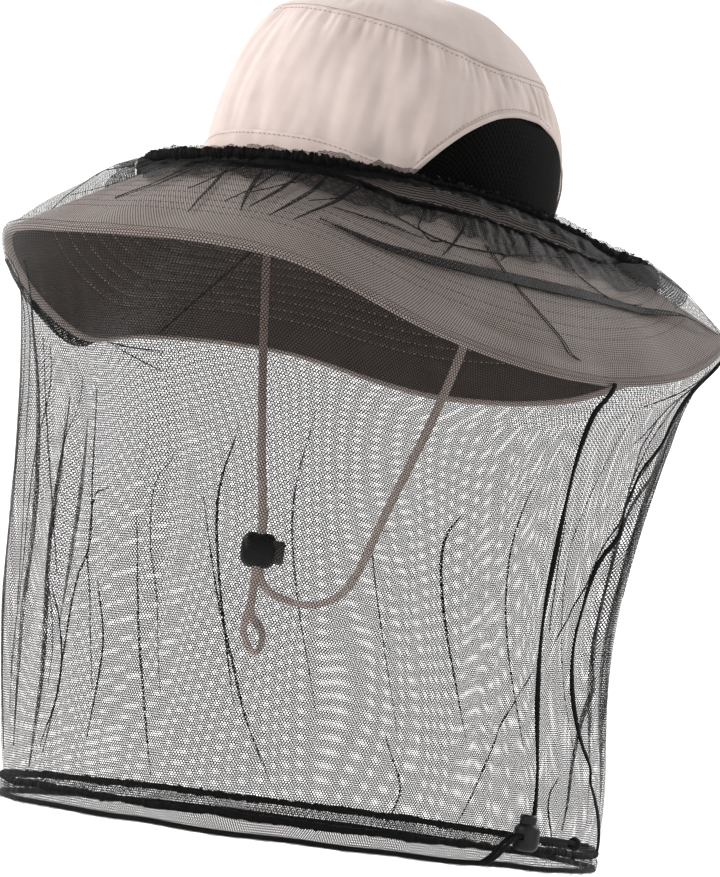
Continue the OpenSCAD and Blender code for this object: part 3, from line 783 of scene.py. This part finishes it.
# Tucks below the top seam: angle and depth
TOP_TUCKS = ((105, 1.6), (111, 3.0), (116, 1.4), (122, 1.8), (-108, 2.4), (-116, 1.6))
TUCK_TURN = 1.5  # half the width of a tuck, in degrees


def wrinkle(a, h):
    """Soft upright folds in the crown's cloth, with short gathers where its seams draw it in."""
    folds = sum(swirl(a + lean * h, pace, h * rise, seed) * depth
                for pace, rise, seed, depth, lean in CROWN_FOLDS)
    top_gather = swirl(a, 0.34, h * 1.5, 4) * 2.2 * smooth((h - 0.72) / 0.28)
    foot_gather = swirl(a, 0.24, h * 1.5, 5) * 1.7 * smooth((0.34 - h) / 0.34)
    tuck = 0
    for place, depth in TOP_TUCKS:
        off = (a - place + 180) % 360 - 180
        tuck -= depth * math.exp(-(off / TUCK_TURN) ** 2) * window(h, 0.66, 1.02, 0.1)
    return folds + top_gather + foot_gather + tuck


def crown_bulge(a, h):
    """How far the cloth stands off the crown's even shape: held in at the foot and at the top
    seam."""
    return wrinkle(a, h) * min(1, 3 * h + 0.3) * (0.3 + 0.7 * smooth((1.0 - h) / 0.10))


def crown_side(name, a0, a1, cols, stands_for):
    """One cloth of the crown's side, cut round the vents' arches, whose cut edge is drawn in."""
    def place(s, t):
        a = mix(a0, a1, s)
        low = arch(a) + 2.2 / wall_height(a) if arch(a) > 0 else 1.0 / wall_height(a)
        h = mix(low, 1.0, t)
        near_arch, gather = 1, 0
        if arch(a) > 0:
            near_arch = smooth((h - low) / 0.10)
            gather = swirl(a, 0.42, h, 9) * 1.3 * smooth((0.26 - (h - low)) / 0.26)
        out = crown_bulge(a, h) * mix(0.3, 1, near_arch) + gather * (0.3 + 0.7 * near_arch)
        return crown_wall(a, h, out)

    bm = woven(cols, 80, place, ((a1 - a0) / 360 * CROWN_ROUND, 0.085))
    finish_piece(bm, name, "hat", CROWN_CLOTH, stands_for, CLOTH_T)


TOP_STITCH_GAP = 2.6
ARCH_STEPS = 180


def make_crown():
    """The crown's two side cloths, its top, and the stitching below their seam."""
    crown_side("crown_front_cloth", -VENT_MID, VENT_MID, 420, "crown_front_panel")
    crown_side("crown_rear_cloth", VENT_MID, 360 - VENT_MID, 300, "crown_rear_panel")

    def top(s, t):
        a, r = 360 * s, mix(1.0, 0.0, t)
        sag = (noise.noise(Vector((r * sin(a) * 2.2, r * cos(a) * 2.2, 4.0))) * 3.2
               + noise.noise(Vector((r * sin(a) * 6, r * cos(a) * 6, 8.0))) * 1.1)
        pucker = swirl(a, 0.3, 3.3, 6) * 1.2 * smooth((r - 0.8) / 0.2) * smooth((1.0 - r) / 0.03)
        edge_roll = 0.6 * math.exp(-((1 - r) / 0.05) ** 2)
        return crown_dome(a, r, (sag + pucker) * smooth((1 - r) / 0.12) + edge_roll)

    bm = woven(360, 60, top, (0.19, 0.19), closed=True)
    bmesh.ops.remove_doubles(bm, verts=bm.verts, dist=1e-6)
    finish_piece(bm, "crown_top_cloth", "hat", CROWN_CLOTH, "crown_top_panel",
                 CLOTH_T)
    line = []
    for a in range(361):
        h = 1 - TOP_STITCH_GAP / wall_height(a)
        line.append((crown_wall(a, h, crown_bulge(a, h) + 0.1), outward(a)))
    stitches("crown_seam_stitching", [line], SEWING_THREAD, length=2.1, pitch=3.1,
             thick=0.55)


def along_arch(side, share, above):
    """Places, as angle and height, on a line round a vent's arch, some millimetres above it."""
    for k in range(ARCH_STEPS + 1):
        a = side * (VENT_MID + mix(-VENT_HALF, VENT_HALF, k / ARCH_STEPS) * share)
        yield a, arch(a) + above / wall_height(a)


def make_vents():
    """The spacer mesh under each arch, the folded strip round it, and the stitching above."""
    for side, hand in ((1, "left"), (-1, "right")):
        def place(s, t):
            a = side * VENT_MID + side * mix(-VENT_HALF, VENT_HALF, s) * 0.985
            low = 0.6 / wall_height(a)
            h = mix(low, max(arch(a) + 2.4 / wall_height(a), low + 0.01), t)
            full = 1.6 * math.sin(math.pi * min(1, max(0, s))) * (1 - (h - low))
            dent = swirl(a, 0.05, h * 2, 2) * 1.4
            return crown_wall(a, h, -0.6 + full + dent)

        bm = woven(160, 60, place, (0.152, 0.054))
        if side < 0:
            bmesh.ops.reverse_faces(bm, faces=bm.faces)
        finish_piece(bm, "vent_mesh_" + hand, "hat", VENT_MESH, "mesh_vent_" + hand,
                     1.6)

        edge_line = list(along_arch(side, 0.995, 1.9))
        points = [crown_wall(a, h, 0.9 + crown_bulge(a, h) * 0.3 + swirl(a, 0.3, 1, 8) * 0.35)
                  for a, h in edge_line]
        bm, _ = tube(points, lambda share: (1.5, 0.55, 0), 12,
                     lambda i, along: along.cross(outward(edge_line[i][0])).normalized())
        finish_piece(bm, "vent_edge_" + hand, "hat", BINDING_CLOTH,
                     "vent_binding_" + hand)
        line = []
        for a, h in along_arch(side, 0.97, 5.2):
            low = arch(a) + 2.2 / wall_height(a)
            out = crown_bulge(a, h) * mix(0.25, 1, smooth((h - low) / 0.1)) + 0.25
            line.append((crown_wall(a, h, out), outward(a)))
        stitches("vent_stitching_" + hand, [line], SEWING_THREAD, length=2.0,
                 pitch=3.0, thick=0.5)


BAND_HALF = 54


def band_top(a):
    """Height of the foot band, which tapers to its ends."""
    return (12.0 + 3.0 * swirl(a, 0.02, 4.0, 2)) * (0.45 + 0.55 * smooth((BAND_HALF - abs(a)) / 30))


def make_base_band():
    """The folded band round the front of the crown's foot, with one row of stitches near its
    top."""
    def place(s, t):
        a = mix(-BAND_HALF, BAND_HALF, s)
        wave = swirl(a, 0.09, t * 0.6, 1) * 1.3
        high = band_top(a)
        h = mix(0.4, high, t) / wall_height(a)
        roll = 0.9 * math.sin(math.pi * min(1, t * 1.05)) + 0.7 * smooth(t)
        ends = smooth((BAND_HALF - abs(a)) / 8)
        return crown_wall(a, h, 0.5 + (1.1 + wave + roll) * ends + crown_bulge(a, h) * 0.5)

    bm = woven(220, 14, place, (0.185, 0.012))
    finish_piece(bm, "crown_foot_band", "hat", CROWN_CLOTH, "crown_base_band", 1.0)
    line = []
    for k in range(160):
        a = mix(-52, 52, k / 159)
        h = (band_top(a) - 2.0) / wall_height(a)
        ends = smooth((BAND_HALF - abs(a)) / 8)
        roll = (1.1 + swirl(a, 0.09, 0.5, 1) * 1.3 + 1.3) * ends
        line.append((crown_wall(a, h, 0.5 + roll + crown_bulge(a, h) * 0.5 + 0.15), outward(a)))
    stitches("foot_band_stitching", [line], SEWING_THREAD, length=2.0, pitch=3.0,
             thick=0.5)


def make_sweatband():
    """The twill band inside the head opening."""
    def place(s, t):
        a = 360 * s
        h = mix(1, 30, t) / wall_height(a)
        return crown_wall(a, h, -2.6 + 0.3 * swirl(a, 0.2, t * 2, 4))

    bm = woven(240, 12, place, (0.6, 0.03), closed=True)
    finish_piece(bm, "sweatband_twill", "hat", LINING_CLOTH, "sweatband", 1.1)


make_crown()
make_vents()
make_base_band()
make_sweatband()


# ---------------------------------------------------------------- the brim
ROW_STEP = 7.0 / BRIM_W
FIRST_ROW = 0.075
ROWS = 13
RIM_ROW = 0.965
DIP_HALF = 0.9
BRIM_FLAT = (1.05, 0.119)  # metres of cloth round the brim and across it


def quilt(s, depth):
    """The dip that each ring of stitching pulls into the cloth."""
    k = min(ROWS - 1, max(0, round((s - FIRST_ROW) / ROW_STEP)))
    gap = abs(s - (FIRST_ROW + k * ROW_STEP)) * BRIM_W
    return -depth * math.exp(-(gap / DIP_HALF) ** 2)


def brim_wave(a, s):
    """The gentle waves of the brim, and one soft crease near its rim on the wearer's left."""
    crease = 0.84 + 0.05 * math.cos(math.radians((a - 86) * 3))
    groove = -1.7 * math.exp(-((s - crease) / 0.035) ** 2) * window(a % 360, 56, 116, 14)
    return swirl(a, 0.037, s * 1.2, 1) * 2.2 * s + swirl(a, 0.1, s * 2, 2) * 0.7 * s + groove


def make_brim():
    """The brim's top and under cloths round their stiff core, its rim, its seams and its rings of
    stitches."""
    def cloth(sign, dip):
        def place(s, t):
            a = 360 * s
            share = mix(0.985, 0.004, t)
            relief = quilt(share, dip) + swirl(a, 0.5, share * 30, 3) * 0.12
            return brim(a, share, brim_wave(a, share) + sign * BRIM_TOP + sign * relief)
        return woven(420, 112, place, BRIM_FLAT, closed=True)

    def core(s, t):
        share = mix(0.97, 0.01, t)
        return brim(360 * s, share, brim_wave(360 * s, share) + 0.7)

    finish_piece(cloth(1, 0.5), "brim_top_cloth", "hat", BRIM_CLOTH, "brim_upper",
                 0.6)
    bm = cloth(-1, 0.9)
    bmesh.ops.reverse_faces(bm, faces=bm.faces)
    finish_piece(bm, "brim_under_cloth", "hat", UNDER_CLOTH, "brim_lower", 0.6)
    bm = woven(200, 16, core, BRIM_FLAT, closed=True)
    finish_piece(bm, "brim_stiff_core", "hat", CORE_FOAM, "brim_core", 1.4)

    points, ups = [], []
    for k in range(480):
        a = 360 * k / 480
        points.append(brim(a, 1.0, brim_wave(a, 1.0)))
        ups.append((brim(a, 1.0) - brim(a, 0.9)).normalized())
    bm, _ = tube(points, lambda share: (2.6, 2.15, 0), 14,
                 lambda i, along: (ups[i] - along * along.dot(ups[i])).normalized(), closed=True)
    finish_piece(bm, "brim_rim_binding", "hat", BINDING_CLOTH, "brim_binding")

    def ring(share, lift, turn):
        return [(brim(a, share, brim_wave(a, share) + lift), brim_up(a) * turn) for a in range(361)]

    shares = [FIRST_ROW + k * ROW_STEP for k in range(ROWS)] + [RIM_ROW]
    under_seam = []
    for a0, a1 in ((258, 268), (98, 86)):
        line = [(mix(a0, a1, k / 40), mix(0.05, 0.97, k / 40)) for k in range(41)]
        points = [brim(a, s, brim_wave(a, s) - BRIM_TOP - 0.1) for a, s in line]
        under_seam.append(tube(points, lambda share: (0.9, 0.45, 0), 8,
                               lambda i, along: along.cross(brim_up(a0)).normalized())[0])
    finish_piece(joined(under_seam), "brim_under_seams", "hat", UNDER_SEAM)
    stitches("brim_top_stitching", [ring(s, BRIM_TOP - 0.3, 1) for s in shares],
             SEWING_THREAD, length=2.4, pitch=3.6, thick=0.5)
    stitches("brim_under_stitching", [ring(s, -BRIM_TOP + 0.5, -1) for s in shares],
             UNDER_THREAD, length=2.6, pitch=3.6, thick=0.7)


make_brim()


# ---------------------------------------------------------------- the veil
def near_left(a):
    """1 on the wearer's left side, where the casing lies open and wide, fading to 0 elsewhere."""
    return window((a + 60) % 360, 92, 196, 24)


def casing_end(a):
    """Where the lower seam of the veil's top casing lies on the brim."""
    return around(ELASTIC_PLACE, a) + mix(0.05, 0.15, near_left(a)) + 0.012 * swirl(a, 0.1, 1, 3)


TENTS = ((-75, -12), (122, 166))  # angles between which the net stands off the brim


def net_lift(a, s):
    """Height of the draped net over the brim's cloth, airy where the elastic gathers it."""
    near = smooth((casing_end(a) + 0.3 - s) / 0.3)
    airy = 1.3 + 1.0 * swirl(a, 0.09, s * 4, 4) + 1.4 * near
    tent = 0
    for low, high in TENTS:
        tent += window((a + 90) % 360 - 90, low, high, 18) * 8 * sin(180 * min(1, max(0, s)))
    ruck = tent + swirl(a, 0.22, s * 1.5, 5) * 1.6 * near + swirl(a, 0.6, s * 3, 6) * 0.8 * near
    return max(0.5, airy + ruck)


def on_brim(a, s, lift=0.0):
    """A point on the net that lies over the brim."""
    return brim(a, s, brim_wave(a, s) + BRIM_TOP + net_lift(a, s) + lift)


def curtain_net(a, f, out=0.0):
    """The hanging net with its folds: long ones that run down it, and small ones the hem's cord
    draws in."""
    hang = sin(180 * min(1, f * 1.02)) ** 0.7 if 0 < f < 0.98 else 0
    slow = swirl(a, 0.022, f * 0.9, 1) * 9.0
    folds = swirl(a + 5 * f, 0.075, f * 0.8, 5) * 5.5
    crease = 1.2 - abs(swirl(a - 8 * f, 0.15, f * 0.7, 9)) * 5.0
    low_down = smooth((f - 0.72) / 0.28)
    gather = swirl(a, 0.3, f * 2.2, 2) * 2.0 * low_down * (0.25 + 0.75 * smooth((1 - f) / 0.08))
    fine = swirl(a, 0.42, f * 1.5, 8) * 0.8 * hang
    sway = swirl(a, 0.04, f * 1.3, 12) * 2.0 * hang
    side = window((a + 90) % 360, 8, 64, 24) + window(a % 360, 98, 172, 26)
    deep = (swirl(a, 0.16, f * 0.9, 14) * 9 + swirl(a + 4 * f, 0.33, f * 1.2, 15) * 3.5) * side
    loose = (slow + folds + crease + deep) * hang * smooth(f / 0.2)
    return curtain(a + sway, f, out + loose + gather + fine)


OVER_RIM = 0.08  # share of the draped net that turns over the rim


def make_drape():
    """The net over the brim, from its casing to where it turns over the rim and joins the
    curtain."""
    def place(s, t):
        a = 360 * s
        if t < OVER_RIM:
            over = 1 - t / OVER_RIM
            edge = on_brim(a, 1.0)
            return edge.lerp(curtain_net(a, 0), over) + brim_up(a) * 1.6 * sin(180 * over)
        return on_brim(a, mix(1.0, casing_end(a), (t - OVER_RIM) / (1 - OVER_RIM)))

    bm = woven(900, 66, place, (1.12, 0.115), closed=True)
    return finish_piece(bm, "veil_net_drape", "hat", NET, "veil_drape")


def make_fullness():
    """The fullness of the net just below its casing, where the gathers lay it double with a wavy
    edge."""
    def place(s, t):
        a = 360 * s
        depth = 0.15 + 0.10 * swirl(a, 0.06, 2, 3) + 0.07 * swirl(a, 0.16, 1, 8)
        low = casing_end(a) + max(0.02, depth)
        return on_brim(a, mix(low, casing_end(a), t), 0.9 + 0.5 * swirl(a, 0.4, t * 2, 5))

    bm = woven(1100, 12, place, (1.4, 0.018), closed=True)
    return finish_piece(bm, "veil_gathered_net", "hat", NET_LAP)


def lap(points, ups, width, thick):
    """A lap of net: a flattened tube, widest at its middle, whose flat side lies along the
    surface."""
    def shape(share):
        full = max(0.12, sin(180 * min(1, max(0, share)))) ** 0.7
        return max(0.2, width / 2 * full), thick, 0

    return tube(points, shape, 8, lambda i, along: along.cross(ups[i]).normalized())[0]


LAP_STEPS = 40


def smooth_line(line):
    """Even steps along a smooth line through pairs of values."""
    last = len(line) - 1
    return [tuple(along_places(values, last * k / LAP_STEPS) for values in zip(*line))
            for k in range(LAP_STEPS + 1)]


# Laps of the draped net on the brim: (angle, share of the brim) places and width in millimetres
BRIM_RIBBONS = [
    ([(36, 0.66), (44, 0.66), (60, 0.59), (86, 0.53), (112, 0.58), (130, 0.73), (138, 0.95)], 8.5),
    ([(38, 0.52), (48, 0.48), (58, 0.47)], 3.0),
    ([(12, 0.34), (13, 0.52), (15, 0.84)], 2.4), ([(20, 0.34), (21, 0.5), (23, 0.76)], 2.8),
    ([(29, 0.3), (27, 0.5), (24, 0.72)], 3.0), ([(35, 0.28), (32, 0.5), (28, 0.76)], 3.2),
    ([(43, 0.24), (38, 0.46), (32, 0.74)], 3.0), ([(5, 0.34), (2, 0.5), (-4, 0.74)], 2.4),
    ([(-8, 0.32), (-12, 0.5), (-18, 0.75)], 2.6), ([(-24, 0.32), (-30, 0.55), (-38, 0.85)], 3.5),
    ([(150, 0.56), (144, 0.74), (139, 0.97)], 6.0), ([(300, 0.3), (306, 0.6), (318, 0.96)], 5.0),
    ([(-41, 0.3), (-44, 0.6), (-46, 0.96)], 3.0), ([(-50, 0.3), (-51, 0.6), (-49, 0.96)], 3.0)]
BRIM_CREASES = [
    ([(43, 0.3), (52, 0.39), (58, 0.42), (66, 0.44), (80, 0.4), (90, 0.37), (111, 0.33),
      (130, 0.44), (143, 0.64)], 1.5),
    ([(60, 0.2), (59, 0.3), (57, 0.4)], 1.4), ([(57, 0.4), (60, 0.46), (64, 0.43)], 1.4),
    ([(72, 0.24), (67, 0.4), (62, 0.54)], 1.6), ([(86, 0.29), (83, 0.37), (79, 0.44)], 1.6),
    ([(91, 0.27), (90, 0.33), (89, 0.39)], 1.3),
    ([(102, 0.34), (104, 0.43), (113, 0.56), (124, 0.62)], 1.5),
    ([(15, 0.32), (12, 0.45), (9, 0.6)], 0.9), ([(32, 0.3), (27, 0.45), (21, 0.6)], 1.0),
    ([(44, 0.24), (40, 0.38), (33, 0.54)], 1.0), ([(-14, 0.3), (-20, 0.42), (-30, 0.52)], 1.2),
    ([(3, 0.34), (0, 0.5), (-5, 0.72)], 0.9), ([(24, 0.32), (22, 0.5), (19, 0.7)], 0.9)]
# Single creases of the curtain, as (angle, share down) places and width
CURTAIN_CREASES = [
    ([(0, 0.28), (1, 0.44), (2, 0.56), (-1, 0.66), (-2, 0.78), (-5, 0.94)], 1.5),
    ([(5, 0.62), (8, 0.74), (7, 0.9)], 1.2), ([(12, 0.5), (15, 0.68), (19, 0.82), (23, 0.95)], 1.5),
    ([(24, 0.44), (30, 0.6), (35, 0.72), (39, 0.82), (45, 0.93)], 1.4),
    ([(-17, 0.2), (-14, 0.36), (-7, 0.62)], 1.2), ([(-8, 0.64), (-2, 0.78), (-6, 0.93)], 1.3),
    ([(100, 0.3), (101, 0.42), (103, 0.54)], 1.2),
    ([(98, 0.62), (89, 0.76), (84, 0.88), (79, 0.98)], 1.2),
    ([(128, 0.04), (119, 0.24), (112, 0.44), (105, 0.58)], 1.6),
    ([(108, 0.84), (104, 0.9), (106, 0.99)], 1.6), ([(122, 0.1), (119, 0.16), (120, 0.22)], 1.3),
    ([(64, 0.8), (68, 0.9), (66, 0.99)], 1.2),
    ([(136, 0.02), (130, 0.1), (124, 0.22), (118, 0.34)], 1.2),
    ([(133, 0.01), (125, 0.07), (116, 0.14)], 1.0),
    ([(139, 0.04), (134, 0.2), (130, 0.4)], 1.4), ([(130, 0.02), (121, 0.04), (112, 0.06)], 0.9),
    ([(141, 0.05), (138, 0.26), (136, 0.5)], 1.6), ([(-48, 0.1), (-44, 0.4), (-46, 0.8)], 1.3),
    ([(-40, 0.05), (-39, 0.3), (-43, 0.66)], 1.2), ([(283, 0.01), (274, 0.03), (266, 0.035)], 1.1),
    ([(280, 0.02), (273, 0.06), (268, 0.08)], 0.8)]
# Where the net bunches under the rim, at the wearer's right
RIM_BUNCHES = [([(322, 0.004), (312, 0.012), (303, 0.016), (295, 0.012), (286, 0.004)], 7.0)]
# Laps of the curtain, where a fold lies double
CURTAIN_RIBBONS = [
    ([(134, 0.08), (124, 0.28), (123, 0.44), (122, 0.6), (115, 0.76), (109, 0.95)], 9.0),
    ([(-8, 0.3), (-10, 0.55), (-8, 0.8), (-10, 0.97)], 5.0),
    ([(-22, 0.06), (-16, 0.5), (-19, 0.94)], 7.0),
    ([(-30, 0.03), (-27, 0.3), (-29, 0.6), (-26, 0.95)], 9.0),
    ([(-36, 0.05), (-35, 0.4), (-37, 0.9)], 9.0),
    ([(131, 0.3), (129, 0.5), (132, 0.75)], 5.0)]
REAR_LAPS = 9


def make_laps():
    """The folds where the net doubles back on itself, over the brim and down the curtain."""
    def lines(table, at, thick, lift):
        parts = []
        for line, width in table:
            places = smooth_line(line)
            points = [at(a, v, lift + 0.25 * swirl(a * 3, 0.2, v * 9, 2)) for a, v in places]
            ups = [brim_up(a) if at is on_brim else outward(a) for a, _ in places]
            parts.append(lap(points, ups, width, thick))
        return parts

    rear_brim, rear_curtain = [], []
    for k in range(REAR_LAPS):
        a = 160 + 19 * k
        rear_brim.append(([(a, 0.62 - 0.03 * (k % 3)), (a + 1, 0.8), (a + 4 * (k % 2), 0.97)],
                          1.6 + 0.6 * (k % 3)))
        a = 165 + 17 * k
        rear_curtain.append(([(a, 0.1 + 0.08 * (k % 4)), (a + 5, 0.4), (a - 2, 0.8)],
                             0.9 + 0.5 * (k % 3)))
    bm = joined(lines(BRIM_RIBBONS + rear_brim, on_brim, 0.25, 0.7))
    ribbons = finish_piece(bm, "veil_brim_laps", "hat", NET_LAP)
    bm = joined(lines(BRIM_CREASES, on_brim, 0.3, 0.5))
    creases = finish_piece(bm, "veil_brim_creases", "hat", NET_CREASE)
    make_fullness()
    bm = joined(lines(CURTAIN_RIBBONS + rear_curtain, curtain_net, 0.25, 0.6))
    hung = finish_piece(bm, "veil_curtain_laps", None, NET_LAP)
    bm = joined(lines(CURTAIN_CREASES, curtain_net, 0.3, 0.5)
                + lines(RIM_BUNCHES, curtain_net, 1.2, 0.4))
    return hung, finish_piece(bm, "veil_curtain_creases", None, NET_CREASE)


def hang(piece):
    """Bakes a piece of the curtain's placing into its mesh."""
    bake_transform(piece)


def make_curtain():
    """The net tube that hangs from the rim to the hem."""
    bm = woven(720, 110, lambda s, t: curtain_net(360 * s, 1 - t), (1.06, 0.31), closed=True)
    return finish_piece(bm, "veil_net_curtain", None, NET, "veil_curtain")


TAPE_STEPS = 120


def make_seam_tape(name, stands_for, places):
    """Tape sewn down a seam of the curtain, a hair outside the net, rolling a little as it
    hangs."""
    last = len(places) - 1
    line = [(along_places(places, last * k / TAPE_STEPS), mix(0.004, 0.996, k / TAPE_STEPS))
            for k in range(TAPE_STEPS + 1)]
    points = [curtain_net(a, f, 0.8) for a, f in line]
    for _ in range(2):
        middle = [(p + 2 * q + r) / 4 for p, q, r in zip(points, points[1:], points[2:])]
        points = [points[0]] + middle + [points[-1]]

    def shape(share):
        return 1.9 + 0.3 * swirl(share * 900, 0.2, 0, 1), 0.7, 16 * sin(1200 * share)

    bm, _ = tube(points, shape, 10, lambda i, along: along.cross(outward(line[i][0])).normalized())
    hang(finish_piece(bm, name, None, NET_TAPE, stands_for))


def make_brim_seam():
    """The side seam of the net where it crosses the brim: two fine lines."""
    parts = []
    for side in (-1, 1):
        line = [(mix(75.5, 91.5, k / 40) + side * 0.4, mix(0.38, 0.93, k / 40)) for k in range(41)]
        parts.append(tube([on_brim(a, s, 0.4) for a, s in line], lambda share: (0.3, 0.25, 0), 6,
                          lambda i, along: along.cross(brim_up(90)).normalized())[0])
    finish_piece(joined(parts), "veil_brim_seam", "hat", NET_TAPE)


def make_top_edge():
    """The elastic in its ruffled casing, the casing's lower seam, and frills of net standing off
    both."""
    angles = [k / 2 for k in range(720)]
    bm, _ = tube([elastic_at(a) for a in angles], lambda share: (ELASTIC_R, ELASTIC_R, 0), 10,
                 lambda i, along: along.cross(brim_up(angles[i])).normalized(), closed=True)
    finish_piece(bm, "veil_elastic_cord", "hat", CORD_BLACK, "veil_elastic")

    def ruffled(base_at, radius, pace, seed):
        def place(s, t):
            a, turn = 360 * s, 360 * t
            way = outward(a) * cos(turn) + brim_up(a) * sin(turn)
            puff = (1 + 0.42 * swirl(a, pace, 1.2 * cos(turn), seed)
                    + 0.34 * swirl(a, pace * 2.7, 1.5 * sin(turn), seed + 1)
                    + 0.25 * swirl(a, pace * 6, cos(turn), seed + 2))
            return base_at(a) + way * radius(a) * max(0.35, puff)
        return place

    ruffle = ruffled(elastic_at, lambda a: RUFFLE_R * mix(1.28, 0.95, near_left(a)), 0.55, 2)
    bm = woven(1600, 12, ruffle, (1.6, 0.03), closed=True)
    finish_piece(seal(bm), "veil_ruffled_casing", "hat", NET_TAPE, "veil_top_casing")

    def lower_at(a):
        return brim(a, casing_end(a),
                    brim_wave(a, casing_end(a)) + BRIM_TOP + 2.2 + 0.8 * swirl(a, 0.15, 0, 7))

    bm = woven(1400, 8, ruffled(lower_at, lambda a: mix(1.9, 2.1, near_left(a)), 0.6, 5),
               (1.5, 0.012), closed=True)
    finish_piece(seal(bm), "veil_casing_seam", "hat", NET_TAPE)

    def channel(s, t):
        a = 360 * s
        low = lower_at(a)
        loose = 3.4 + 2.2 * swirl(a, 0.16, t, 4) + 1.2 * swirl(a, 0.4, t * 2, 3)
        puff = loose * sin(180 * t) * mix(0.4, 1, near_left(a))
        return low.lerp(elastic_at(a) + brim_up(a) * 1.5, t) + brim_up(a) * puff

    bm = woven(1000, 12, channel, (1.6, 0.02), closed=True)
    tunnel = finish_piece(bm, "veil_casing_net", "hat", NET_DOUBLE)

    def frill(s, t):
        a = 360 * s
        wave = (swirl(a, 0.7, t * 1.3, 6) * 4.5 + swirl(a, 1.4, t, 4) * 1.4) * t
        height = mix(1.5, 6.5 + 3.0 * swirl(a, 0.25, 1, 1) + 1.0 * swirl(a, 1.1, 1, 2), t)
        return elastic_at(a) + brim_up(a) * height + outward(a) * (wave - 1.0 * t)

    bm = woven(2200, 5, frill, (2.2, 0.01), closed=True)
    ruff = finish_piece(bm, "veil_top_frill", "hat", NET_DOUBLE)


def make_hem():
    """The turned-up hem: net round a cord, with the cord in its fold and a thick rolled upper
    seam."""
    cord_z = DRAWCORD_R + 0.8 - HEM_DROP

    def cord_at(a, out=0.0, up=0.0):
        return hem_point(a, out, cord_z + up + 0.7 * swirl(a, 0.08, 1, 1))

    def seam_at(a):
        return hem_point(a, swirl(a, 0.1, 3, 2) * 1.8, HEM_TOP + 0.4 + swirl(a, 0.12, 1, 5) * 1.2)

    angles = [0.6 * k for k in range(600)]
    bm, _ = tube([cord_at(a) for a in angles], lambda share: (DRAWCORD_R, DRAWCORD_R, 0), 10,
                 lambda i, along: along.cross(Vector((0, 0, 1))).normalized(), closed=True)
    finish_piece(bm, "hem_elastic_cord", "hem", CORD_BLACK, "hem_drawcord")
    half = DRAWCORD_R + 0.5

    def turned(s, t):
        a = 360 * s
        if 0.3 <= t <= 0.7:  # the fold round the cord, between the two sides that climb
            turn = mix(0, -180, (t - 0.3) / 0.4)
            ruck = 1 + 0.25 * swirl(a, 0.5, t * 3, 2)
            return cord_at(a, half * cos(turn) * ruck, half * sin(turn) * ruck)
        side = 1 if t < 0.3 else -1
        climb = (0.3 - t) / 0.3 if t < 0.3 else (t - 0.7) / 0.3
        puff = swirl(a, 0.35, t * 5, 7) * 2.2 * sin(180 * climb)
        seam_side = seam_at(a) + outward(a) * side * 0.8
        return cord_at(a, side * half).lerp(seam_side, climb) + outward(a) * puff

    bm = woven(1000, 20, turned, (1.3, 0.034), closed=True)
    finish_piece(bm, "hem_turned_net", "hem", NET, "hem_casing")

    def rolled(s, t):
        a, turn = 360 * s, 360 * t
        way = outward(a) * cos(turn) + Vector((0, 0, 1)) * sin(turn)
        puff = (1 + 0.4 * swirl(a, 0.5, 1.2 * cos(turn), 3)
                + 0.35 * swirl(a, 1.6, 1.5 * sin(turn), 4))
        return seam_at(a) + way * 2.0 * max(0.4, puff)

    bm = woven(1400, 10, rolled, (1.3, 0.012), closed=True)
    finish_piece(seal(bm), "hem_rolled_seam", "hem", NET_TAPE)


draped = make_drape()
net_curtain = make_curtain()
curtain_laps = make_laps()
for hung_piece in (net_curtain,) + curtain_laps:
    hang(hung_piece)
make_seam_tape("veil_side_seam_tape", "veil_seam_side", SIDE_SEAM)
make_seam_tape("veil_rear_seam_tape", "veil_seam_rear", REAR_SEAM)
make_brim_seam()
make_top_edge()
make_hem()

# ---------------------------------------------------------------- parts carried over from the CAD
for node_name, finish in (
        ("chin_anchor_left", CHIN_BRAID), ("chin_anchor_right", CHIN_BRAID),
        ("chin_lock_body", LOCK_PLASTIC), ("chin_lock_plunger", BUTTON_PLASTIC),
        ("chin_lock_spring", SPRING_WIRE), ("hem_lock_body", LOCK_PLASTIC),
        ("hem_lock_plunger", LOCK_PLASTIC), ("hem_lock_spring", SPRING_WIRE),
        ("hem_cord_knot", CORD_BLACK)):
    dress(node_name, finish)

make_stage()
